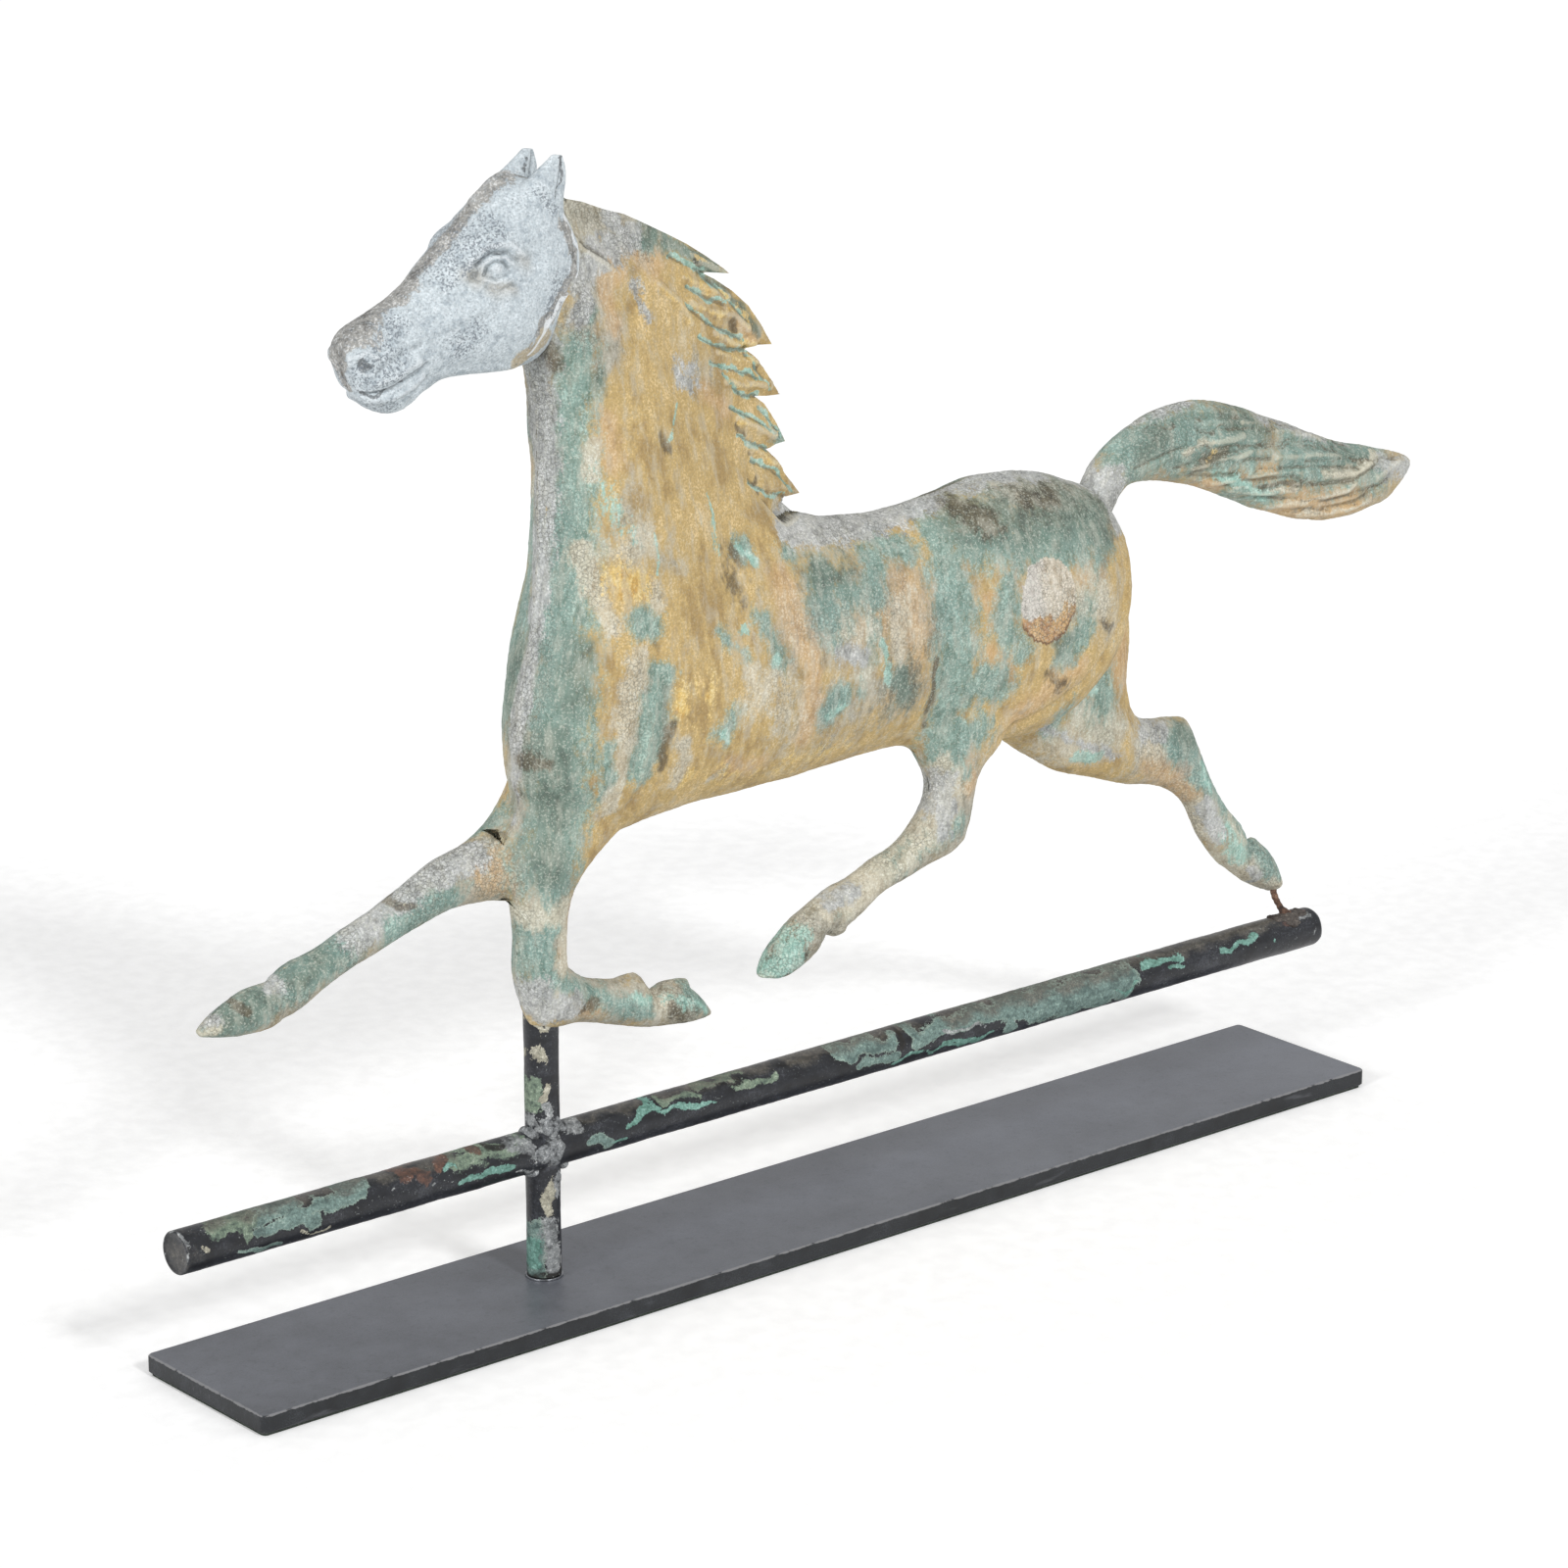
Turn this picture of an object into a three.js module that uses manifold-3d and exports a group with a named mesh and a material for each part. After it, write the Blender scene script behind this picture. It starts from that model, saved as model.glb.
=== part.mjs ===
// Horse weathervane: a pressed copper horse with a cast zinc head on a cross of iron pipes,
// turning on a steel spindle that stands on a flat steel plate.
// Millimetres, +Z up. The origin is on the spindle's axis at the underside of the felt pad.
// The horse faces -X, and its left side, the near side, is -Y.
import * as THREE from "three";
import { mergeVertices } from "three/addons/utils/BufferGeometryUtils.js";
import Module from "manifold-3d";

const wasm = await Module();
wasm.setup();

// Clearances
const fitGap = 0.3; // between parts that touch but don't move
const runningGap = 0.4; // between the spindle and what turns on it
const overrun = 4; // how far a cutting tool passes the surface that it cuts

// Stand
const plateLength = 762;
const plateWidth = 101.6;
const plateThick = 9.5;
const plateCornerRadius = 2.5;
const plateEdgeBevel = 0.8;
const plateFrontReach = 214; // from the spindle's axis to the plate's front end
const plateSetback = 5.4; // the spindle stands this far behind the plate's centre line
const feltThick = 1.5;
const feltMargin = 1.5; // the felt ends this far inside the plate's edge
const spindleDia = 12;
const spindleNoseRadius = 7;
const screwDia = 6;
const screwHeadDia = 11.5;
const screwHeadHeight = 3.2;
const screwGrip = 16; // length of thread in the spindle
const driveSlotWidth = 1.4;
const driveSlotDepth = 1.2;
const washerDia = 19.5;
const washerThick = 1.2;

// Pipes
const uprightDia = 18;
const uprightWall = 1.7;
const crossbarDia = 22.2;
const crossbarWall = 1.7;
const crossbarHeight = 70; // from the plate's top to the crossbar's axis
const crossbarFrontReach = 224; // from the spindle's axis
const crossbarRearOverhang = 26; // past the wire's foot
const frontCapThick = 2.4;
const capTenonLength = 9;
const rearCapDome = 5;
const bushLength = 22;
const cupLength = 20;
const cupSeatDepth = 3;
const solderReach = 9; // how far the solder runs along the pipes past the crossing
const solderThick = 2.6;
const wireDia = 3.3;
const wireSolderLength = 30;
const wireSolderShift = 6; // the middle of the wire's solder lies this far behind its foot
const wireSolderRise = 2.2;

// Horse
const square = 10; // one square of the pattern that the horse is drawn on
const copperSheet = 1; // pressed shells, with their coat of paint and patina
const seamLap = 2.2; // depth of metal along the soldered seam
const zincWall = 3;
const maneSheet = 1.8;

const plateTop = feltThick + plateThick;
const footZ = plateTop + washerThick + 2 * fitGap;
const axisZ = plateTop + crossbarHeight;
const uprightRadius = uprightDia / 2;
const uprightBore = uprightRadius - uprightWall;
const crossbarRadius = crossbarDia / 2;
const crossbarBore = crossbarRadius - crossbarWall;
const spindleRadius = spindleDia / 2;

// All horse tables below are in squares. The pattern's zero lines are the spindle's axis and the
// crossbar's axis. A section row holds the two ends of a cut across the form (u, v and u, v)
// and its half width across the horse. The trunk's rows add a skew, which above 1 makes the cut
// fullest towards its second end, and a taper, which is 0.5 for an oval and more for a lens.
const trunkSectionShares = [
  [39.1, 25.7, 39.2, 22.9, 1.0, 1, 0.5],
  [38.7, 27.2, 38.9, 20.4, 2.2, 1, 0.5],
  [37.6, 28.5, 37.8, 18.5, 3.1, 1, 0.5],
  [35.9, 29.4, 35.5, 16.7, 3.8, 1, 0.5],
  [33.0, 30.3, 32.5, 15.9, 4.1, 1, 0.5],
  [29.7, 30.6, 29.0, 16.1, 4.1, 1, 0.5],
  [26.2, 30.1, 25.5, 16.7, 3.8, 1, 0.5],
  [23.0, 29.8, 22.2, 17.0, 3.7, 1, 0.5],
  [20.0, 29.9, 19.0, 16.9, 3.8, 1, 0.5],
  [17.5, 30.4, 15.5, 16.7, 3.9, 1.05, 0.5],
  [15.0, 31.6, 11.5, 16.6, 3.9, 1.2, 0.52],
  [13.8, 33.3, 7.8, 16.5, 3.9, 1.3, 0.54],
  [13.1, 35.1, 4.0, 16.0, 3.8, 1.4, 0.56],
  [12.5, 37.1, 0.5, 16.6, 3.8, 1.5, 0.55],
  [11.6, 39.3, -1.35, 19.3, 3.7, 1.55, 0.55],
  [10.3, 41.3, -1.15, 23.2, 3.5, 1.55, 0.57],
  [8.8, 43.0, -0.25, 27.0, 3.1, 1.35, 0.68],
  [7.0, 44.4, 0.15, 30.1, 2.7, 1.25, 0.74],
  [5.0, 45.7, 0.25, 33.1, 2.5, 1.1, 0.85],
  [3.2, 46.7, 0.3, 36.1, 2.3, 1.05, 0.85],
  [1.8, 47.5, 0.25, 38.4, 2.1, 1, 0.75],
  [0.6, 47.9, -0.1, 40.1, 1.8, 1, 0.6],
];
const headSectionShares = [
  [-11.55, 43.2, -11.4, 42.1, 0.7],
  [-11.1, 43.85, -10.9, 40.9, 1.2],
  [-10.1, 44.35, -9.75, 39.85, 1.45],
  [-8.7, 44.95, -8.3, 39.6, 1.5],
  [-7.35, 45.75, -7.0, 40.3, 1.55],
  [-6.1, 46.8, -5.6, 40.85, 1.8],
  [-4.7, 47.9, -3.6, 40.8, 2.1],
  [-3.4, 49.0, -1.8, 40.75, 2.35],
  [-2.0, 50.0, -0.1, 41.1, 2.35],
  [-0.7, 50.1, 1.1, 42.5, 2.15],
  [0.5, 49.5, 2.1, 44.3, 1.75],
  [1.25, 48.5, 2.4, 46.2, 0.9],
];
const earSectionShares = [
  [-1.9, 48.1, 1.25, 48.1, 0.5],
  [-1.4, 49.5, 1.2, 49.5, 0.55],
  [-0.55, 50.5, 1.1, 50.5, 0.4],
  [0.15, 51.15, 0.7, 51.15, 0.15],
];
const earSideShare = 1.15; // of a square, from the middle of the head
const ovalTaper = 0.5; // the taper of every row that states none
const headTaper = 0.43;
const tailSectionShares = [
  [37.0, 28.3, 38.6, 26.8, 1.0],
  [37.9, 29.9, 39.6, 28.1, 1.05],
  [39.1, 30.9, 40.4, 28.5, 1.1],
  [42.4, 32.25, 42.7, 28.4, 1.3],
  [46.6, 32.2, 46.1, 27.4, 1.45],
  [51.4, 30.5, 50.3, 25.6, 1.4],
  [56.5, 28.5, 55.7, 24.1, 1.2],
  [60.7, 27.35, 60.2, 24.4, 0.85],
  [61.9, 26.95, 61.6, 25.1, 0.6],
  [62.6, 26.55, 62.4, 25.95, 0.3],
];
const legs = {
  near_foreleg: {
    sideShare: -0.3,
    sectionShares: [
      [-1.2, 18.6, 7.4, 18.2, 1.7],
      [-2.0, 15.6, 3.9, 15.8, 1.6],
      [-2.0, 14.4, 2.35, 14.6, 1.5],
      [-1.8, 13.2, 1.5, 13.4, 1.45],
      [-1.6, 11.4, 1.1, 11.4, 1.38],
      [-1.65, 9.7, 1.25, 9.8, 1.35],
      [-1.35, 8.2, 1.7, 9.3, 1.32],
      [-0.6, 6.7, 2.4, 8.75, 1.25],
      [1.8, 6.45, 3.3, 8.4, 1.1],
      [3.6, 6.0, 4.5, 8.1, 1.0],
      [4.9, 5.6, 5.9, 8.1, 1.05],
      [6.1, 5.25, 6.9, 7.0, 0.9],
      [7.4, 5.0, 8.3, 7.25, 1.1],
      [9.0, 4.85, 9.6, 6.4, 1.05],
      [10.4, 4.85, 10.7, 5.15, 0.5],
    ],
  },
  far_foreleg: {
    sideShare: 1.2,
    sectionShares: [
      [-0.2, 20.2, 1.2, 13.4, 1.5],
      [-1.4, 18.2, -0.9, 13.2, 1.5],
      [-3.2, 16.8, -2.6, 13.5, 1.3],
      [-5.5, 16.1, -5.0, 13.5, 1.15],
      [-7.9, 15.0, -7.6, 12.8, 1.0],
      [-10.4, 14.0, -10.0, 12.1, 0.9],
      [-12.8, 13.1, -12.3, 11.3, 0.95],
      [-14.6, 12.6, -13.9, 10.45, 1.0],
      [-15.8, 12.05, -15.1, 10.05, 0.9],
      [-17.0, 11.9, -16.1, 9.7, 1.1],
      [-18.6, 11.3, -18.1, 9.85, 0.95],
      [-19.9, 10.45, -19.75, 10.2, 0.3],
    ],
  },
  near_hindleg: {
    sideShare: -1.4,
    sectionShares: [
      [23.2, 19.4, 33.0, 19.4, 1.6],
      [23.9, 16.9, 30.4, 16.9, 1.6],
      [24.9, 15.0, 28.3, 15.2, 1.4],
      [24.6, 13.6, 27.9, 13.8, 1.25],
      [23.7, 12.6, 27.6, 12.1, 1.15],
      [22.4, 11.8, 26.9, 11.15, 1.1],
      [20.8, 11.25, 24.8, 10.5, 1.0],
      [19.2, 10.65, 21.4, 9.55, 0.9],
      [18.1, 10.4, 18.9, 8.2, 1.0],
      [16.9, 9.9, 17.7, 8.3, 0.9],
      [15.35, 9.05, 16.8, 7.25, 1.1],
      [13.95, 7.9, 15.5, 6.6, 1.05],
      [13.3, 6.9, 14.3, 6.4, 0.7],
      [13.2, 6.7, 13.4, 6.55, 0.3],
    ],
  },
  far_hindleg: {
    sideShare: 1.4,
    sectionShares: [
      [40.0, 25.6, 31.0, 19.4, 1.6],
      [41.4, 22.6, 31.0, 17.8, 1.9],
      [41.95, 19.8, 31.4, 16.5, 1.8],
      [41.7, 17.3, 32.7, 15.1, 1.7],
      [42.1, 15.7, 34.6, 13.9, 1.55],
      [42.8, 14.6, 36.6, 12.8, 1.4],
      [44.1, 14.2, 39.5, 11.75, 1.25],
      [45.3, 14.1, 42.1, 10.9, 1.15],
      [46.6, 13.8, 44.0, 10.5, 1.1],
      [47.35, 12.4, 45.6, 9.8, 1.05],
      [48.55, 10.0, 46.9, 8.6, 1.0],
      [49.85, 8.1, 48.2, 6.4, 0.95],
      [51.2, 6.6, 49.4, 4.9, 1.0],
      [51.75, 5.6, 50.4, 4.15, 0.9],
      [52.9, 5.4, 51.4, 3.4, 1.1],
      [54.05, 3.85, 52.6, 2.65, 1.05],
      [54.5, 2.75, 53.7, 2.2, 0.7],
      [54.6, 2.5, 54.2, 2.15, 0.3],
    ],
  },
};
const maneRootShares = [
  [2.2, 46.5],
  [5.0, 44.6],
  [8.0, 42.2],
  [10.2, 39.4],
  [11.5, 36.5],
  [12.8, 33.0],
  [15.0, 30.6],
];
const maneTopShare = [2.0, 48.6];
// Each lock of the mane: the bow of its upper edge, its tip, and the notch under the tip.
const maneLockShares = [
  [7.4, 47.2, 12.5, 43.6, 10.9, 43.95],
  [13.4, 42.3, 15.3, 39.65, 13.35, 39.75],
  [14.9, 38.75, 15.7, 37.05, 14.0, 37.05],
  [15.2, 36.2, 16.1, 34.45, 14.9, 34.25],
  [16.0, 33.0, 17.0, 31.8, 16.1, 31.55],
];
const maneHeelShare = [16.4, 30.9];

const tubeTopShare = 20.5; // height of the upright's top over the crossbar, in squares
const sleeveShares = [8.2, 18.6]; // foot and top of the sleeve in the bent foreleg, in squares
const wireHoofShare = [54.1, 2.7]; // where the wire enters the trailing hoof, in squares
const wireFootShare = 53.4; // where the wire enters the crossbar, in squares
// The wire's bends from the hoof down: shares of its way along, across and up from the bar's top.
const wireBendShares = [
  [1, 1, 1],
  [1, 1, 0.66],
  [0.6, 0.5, 0.35],
  [0, 0.1, 0],
];
// A form is hollow only where it is this many walls long and its half width this many walls.
const hollowLengthShare = 4;
const hollowWidthShare = 2.5;

const tubeTopZ = axisZ + tubeTopShare * square;
const cupSeatZ = tubeTopZ - cupLength + cupSeatDepth;
const spindleTopZ = cupSeatZ - runningGap;
const wireFootX = wireFootShare * square;
const crossbarRearX = wireFootX + crossbarRearOverhang;

// Turns a closed geometry into a solid, whichever way its faces were wound.
function solidOf(geometry) {
  const bare = geometry.clone();
  bare.deleteAttribute("normal");
  bare.deleteAttribute("uv");
  const merged = mergeVertices(bare);
  const triVerts = new Uint32Array(merged.index.array);
  const vertProperties = new Float32Array(merged.attributes.position.array);
  const solid = new wasm.Manifold(new wasm.Mesh({ numProp: 3, vertProperties, triVerts }));
  if (solid.volume() >= 0) {
    return solid;
  }
  for (let i = 0; i < triVerts.length; i += 3) {
    const first = triVerts[i];
    triVerts[i] = triVerts[i + 1];
    triVerts[i + 1] = first;
  }
  return new wasm.Manifold(new wasm.Mesh({ numProp: 3, vertProperties, triVerts }));
}

function geometryOf(solid) {
  const mesh = solid.getMesh();
  const positions = new THREE.BufferAttribute(new Float32Array(mesh.vertProperties), 3);
  const indexed = new THREE.BufferGeometry().setAttribute("position", positions);
  indexed.setIndex(new THREE.BufferAttribute(new Uint32Array(mesh.triVerts), 1));
  const geometry = indexed.toNonIndexed();
  geometry.computeVertexNormals();
  return geometry;
}

function latheSolid(points, segments) {
  const profile = points.map(([r, z]) => new THREE.Vector2(r, z));
  return solidOf(new THREE.LatheGeometry(profile, segments).rotateX(Math.PI / 2));
}

function rodSolid(radius, z0, z1, segments) {
  return latheSolid([[0, z0], [radius, z0], [radius, z1], [0, z1]], segments);
}

function ringSolid(inner, outer, z0, z1, segments) {
  const corners = [[inner, z0], [outer, z0], [outer, z1], [inner, z1], [inner, z0]];
  return latheSolid(corners, segments);
}

// The same shapes lying along X at the crossbar's height.
function layAlongX(solid) {
  const geometry = geometryOf(solid).rotateY(Math.PI / 2);
  return solidOf(geometry.translate(0, 0, axisZ));
}

const roundSegments = 28;
const fineSegments = 16;
const noseArcSteps = 5;
// Squares between the rows of each skin.
const trunkStep = 1.9;
const tailStep = 1.6;
const legStep = 1.3;
const headStep = 0.8;

// Rows between the hand-drawn sections, on a smooth curve through them, in millimetres.
function sectionRows(shares, stepLength, taper) {
  const full = shares.map(([u0, v0, u1, v1, half, skew = 1, bow = taper]) => [
    u0,
    v0,
    u1,
    v1,
    half,
    skew,
    bow,
  ]);
  const stations = [0];
  for (let i = 1; i < shares.length; i += 1) {
    const [a, b] = [shares[i - 1], shares[i]];
    const du = (b[0] + b[2] - a[0] - a[2]) / 2;
    const dv = (b[1] + b[3] - a[1] - a[3]) / 2;
    stations.push(stations[i - 1] + Math.hypot(du, dv));
  }
  const curve = new THREE.CubicInterpolant(stations, full.flat(), full[0].length);
  const rows = [];
  for (let i = 0; i < full.length - 1; i += 1) {
    const span = stations[i + 1] - stations[i];
    const steps = Math.max(1, Math.round(span / stepLength));
    for (let step = 0; step < steps; step += 1) {
      rows.push([...curve.evaluate(stations[i] + (span * step) / steps)]);
    }
  }
  rows.push([...full[full.length - 1]]);
  return rows.map(([u0, v0, u1, v1, half, skew, bow]) => ({
    a: new THREE.Vector2(u0 * square, axisZ + v0 * square),
    b: new THREE.Vector2(u1 * square, axisZ + v1 * square),
    half: half * square,
    skew,
    bow,
  }));
}

// The same rows moved inwards by a wall, or outwards by a negative one.
function insetRows(rows, wall, edgeWall) {
  const moved = rows.map((row) => {
    const along = row.b.clone().sub(row.a).normalize();
    const longEnough = row.b.distanceTo(row.a) > hollowLengthShare * edgeWall;
    return {
      a: row.a.clone().addScaledVector(along, edgeWall),
      b: row.b.clone().addScaledVector(along, -edgeWall),
      half: row.half - wall,
      skew: row.skew,
      bow: row.bow,
      roomy: longEnough && row.half > hollowWidthShare * wall,
    };
  });
  if (wall < 0) {
    slideRow(moved[0], moved[1], wall);
    slideRow(moved[moved.length - 1], moved[moved.length - 2], wall);
    return moved;
  }
  return moved.slice(1, -1).filter((row) => row.roomy);
}

// Moves an end row towards its neighbour, or away from it by a negative distance.
function slideRow(end, neighbour, distance) {
  const middle = end.a.clone().add(end.b).multiplyScalar(0.5);
  const inner = neighbour.a.clone().add(neighbour.b).multiplyScalar(0.5);
  const shift = inner.sub(middle).normalize().multiplyScalar(distance);
  end.a.add(shift);
  end.b.add(shift);
}

// A closed skin through the rows, with `sides` points round each.
function skinSolid(rows, side, sides) {
  const positions = [];
  const index = [];
  rows.forEach((row) => {
    for (let j = 0; j < sides; j += 1) {
      const angle = (2 * Math.PI * j) / sides;
      const share = (1 - Math.cos(angle)) / 2;
      const skewed = Math.pow(share, row.skew);
      const bulge = Math.pow(Math.max(0, 4 * skewed * (1 - skewed)), row.bow);
      const point = row.a.clone().lerp(row.b, share);
      positions.push(point.x, side + Math.sign(Math.sin(angle)) * row.half * bulge, point.y);
    }
  });
  for (let i = 0; i < rows.length - 1; i += 1) {
    for (let j = 0; j < sides; j += 1) {
      const next = (j + 1) % sides;
      const [p, q] = [i * sides + j, i * sides + next];
      index.push(p, q, q + sides, p, q + sides, p + sides);
    }
  }
  [0, rows.length - 1].forEach((end) => {
    const { a, b } = rows[end];
    const centre = positions.length / 3;
    positions.push((a.x + b.x) / 2, side, (a.y + b.y) / 2);
    for (let j = 0; j < sides; j += 1) {
      const [p, q] = [end * sides + j, end * sides + ((j + 1) % sides)];
      index.push(...(end ? [p, q, centre] : [q, p, centre]));
    }
  });
  const skin = new THREE.BufferGeometry();
  skin.setAttribute("position", new THREE.Float32BufferAttribute(positions, 3));
  skin.setIndex(index);
  return solidOf(skin);
}

// One pressed or cast form: its full solid, the same grown by the fit gap, and its hollow shell.
function makeForm(shares, { side = 0, sides, innerSides, stepLength, wall, taper = ovalTaper }) {
  const rows = sectionRows(shares, stepLength, taper);
  const full = skinSolid(rows, side, sides);
  const grown = skinSolid(insetRows(rows, -fitGap, -fitGap), side, sides);
  const inner = skinSolid(insetRows(rows, wall, Math.max(wall, seamLap)), side, innerSides);
  return { full, grown, shell: full.subtract(inner) };
}

// The half of a solid on one side of the plane y = planeY; sign 1 keeps the far side.
function halfOf(solid, planeY, sign) {
  const reach = crossbarFrontReach + crossbarRearX;
  const box = new THREE.BoxGeometry(2 * reach, reach, 2 * reach);
  box.translate(0, planeY + (sign * reach) / 2, axisZ);
  return solid.intersect(solidOf(box));
}

// The largest of the bodies that a cut leaves.
function mainBody(solid) {
  return solid.decompose().sort((a, b) => b.volume() - a.volume())[0];
}

const group = new THREE.Group();
group.name = "horse_weathervane";

const finishes = {
  blackSteel: { color: 0x2a2b2e, roughness: 0.55, metalness: 0.7 },
  felt: { color: 0x3d463f, roughness: 1, metalness: 0 },
  brightSteel: { color: 0x9c9fa3, roughness: 0.35, metalness: 1 },
  bronze: { color: 0x9a7440, roughness: 0.4, metalness: 1 },
  iron: { color: 0x34363a, roughness: 0.7, metalness: 0.6 },
  solder: { color: 0x8f9396, roughness: 0.65, metalness: 0.6 },
  rust: { color: 0x5a3d30, roughness: 0.9, metalness: 0.2 },
  gilded: { color: 0xb08a45, roughness: 0.5, metalness: 0.7 },
  verdigris: { color: 0x6f9484, roughness: 0.85, metalness: 0.1 },
  zinc: { color: 0xc3d0d8, roughness: 0.7, metalness: 0.1 },
};

function addPiece(name, solid, finish) {
  const mesh = new THREE.Mesh(geometryOf(solid), new THREE.MeshStandardMaterial(finish));
  mesh.name = name;
  group.add(mesh);
}

// A rectangle with rounded corners, centred on the plate, grown or shrunk by a margin.
function plateOutline(margin) {
  const [x, y] = [plateLength / 2 - margin, plateWidth / 2 - margin];
  const r = plateCornerRadius;
  const outline = new THREE.Shape();
  outline.moveTo(-x + r, -y);
  outline.lineTo(x - r, -y);
  outline.absarc(x - r, -y + r, r, -Math.PI / 2, 0);
  outline.lineTo(x, y - r);
  outline.absarc(x - r, y - r, r, 0, Math.PI / 2);
  outline.lineTo(-x + r, y);
  outline.absarc(-x + r, y - r, r, Math.PI / 2, Math.PI);
  outline.lineTo(-x, -y + r);
  outline.absarc(-x + r, -y + r, r, Math.PI, (3 * Math.PI) / 2);
  return outline;
}

function makeStand() {
  const centreX = plateLength / 2 - plateFrontReach;
  const plate = new THREE.ExtrudeGeometry(plateOutline(plateEdgeBevel), {
    depth: plateThick - 2 * plateEdgeBevel,
    bevelThickness: plateEdgeBevel,
    bevelSize: plateEdgeBevel,
    bevelSegments: 1,
    curveSegments: 3,
  });
  plate.translate(centreX, -plateSetback, feltThick + plateEdgeBevel);
  const felt = new THREE.ExtrudeGeometry(plateOutline(feltMargin), {
    depth: feltThick,
    bevelEnabled: false,
    curveSegments: 3,
  });
  felt.translate(centreX, -plateSetback, 0);

  const headTop = feltThick + screwHeadHeight;
  const shank = screwDia / 2;
  const head = screwHeadDia / 2;
  const shankTop = plateTop + screwGrip;
  const screwBlank = latheSolid(
    [[0, feltThick], [head, feltThick], [shank, headTop], [shank, shankTop], [0, shankTop]],
    fineSegments,
  );
  const slot = new THREE.BoxGeometry(2 * screwHeadDia, driveSlotWidth, 2 * driveSlotDepth);
  slot.translate(0, 0, feltThick);
  const screwHole = latheSolid(
    [
      [0, feltThick - overrun],
      [head + fitGap + overrun, feltThick - overrun],
      [head + fitGap, feltThick],
      [shank + fitGap, headTop],
      [shank + fitGap, shankTop + fitGap],
      [0, shankTop + fitGap],
    ],
    fineSegments,
  );
  const noseStart = spindleTopZ - noseHeight();
  const nose = new THREE.Path();
  const noseCentre = spindleTopZ - spindleNoseRadius;
  const noseAngle = Math.asin(spindleRadius / spindleNoseRadius);
  nose.absarc(0, noseCentre, spindleNoseRadius, Math.PI / 2 - noseAngle, Math.PI / 2);
  const noseArc = nose.getPoints(noseArcSteps).map((p) => [p.x, p.y]);
  noseArc[noseArc.length - 1][0] = 0;
  const spindle = latheSolid(
    [[0, plateTop], [spindleRadius, plateTop], [spindleRadius, noseStart], ...noseArc.slice(1)],
    fineSegments,
  );

  addPiece("base_plate", solidOf(plate).subtract(screwHole), finishes.blackSteel);
  addPiece("felt_pad", solidOf(felt), finishes.felt);
  addPiece("spindle", spindle.subtract(screwHole), finishes.brightSteel);
  addPiece("base_screw", screwBlank.subtract(solidOf(slot)), finishes.brightSteel);
  const washer = ringSolid(
    spindleRadius + fitGap,
    washerDia / 2,
    plateTop,
    plateTop + washerThick,
    roundSegments,
  );
  addPiece("foot_washer", washer, finishes.brightSteel);
}

// Height of the spindle's round nose.
function noseHeight() {
  return spindleNoseRadius - Math.sqrt(spindleNoseRadius ** 2 - spindleRadius ** 2);
}

// The wire from the trailing hoof to the crossbar; grow widens it for the holes that it sits in.
function wireSolid(grow) {
  const radius = wireDia / 2 + grow;
  const hoofY = legs.far_hindleg.sideShare * square;
  const hoofX = wireHoofShare[0] * square;
  const hoofZ = axisZ + wireHoofShare[1] * square;
  const barTop = axisZ + crossbarRadius;
  const points = wireBendShares.map(([along, across, up]) => [
    wireFootX + along * (hoofX - wireFootX),
    across * hoofY,
    barTop + up * (hoofZ - barTop),
  ]);
  points.push([wireFootX, 0, axisZ + crossbarBore - wireDia / 2]);
  const path = new THREE.CatmullRomCurve3(points.map((p) => new THREE.Vector3(...p)));
  const section = new THREE.Shape();
  section.absarc(0, 0, radius, 0, 2 * Math.PI);
  const bend = new THREE.ExtrudeGeometry(section, {
    steps: 14,
    curveSegments: 8,
    extrudePath: path,
  });
  return solidOf(bend);
}

// An egg shape with the given half lengths, centred on a point.
function eggSolid(x, z, [rx, ry, rz]) {
  const egg = new THREE.SphereGeometry(1, fineSegments, fineSegments / 2);
  egg.scale(rx, ry, rz);
  egg.translate(x, 0, z);
  return solidOf(egg);
}

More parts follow.
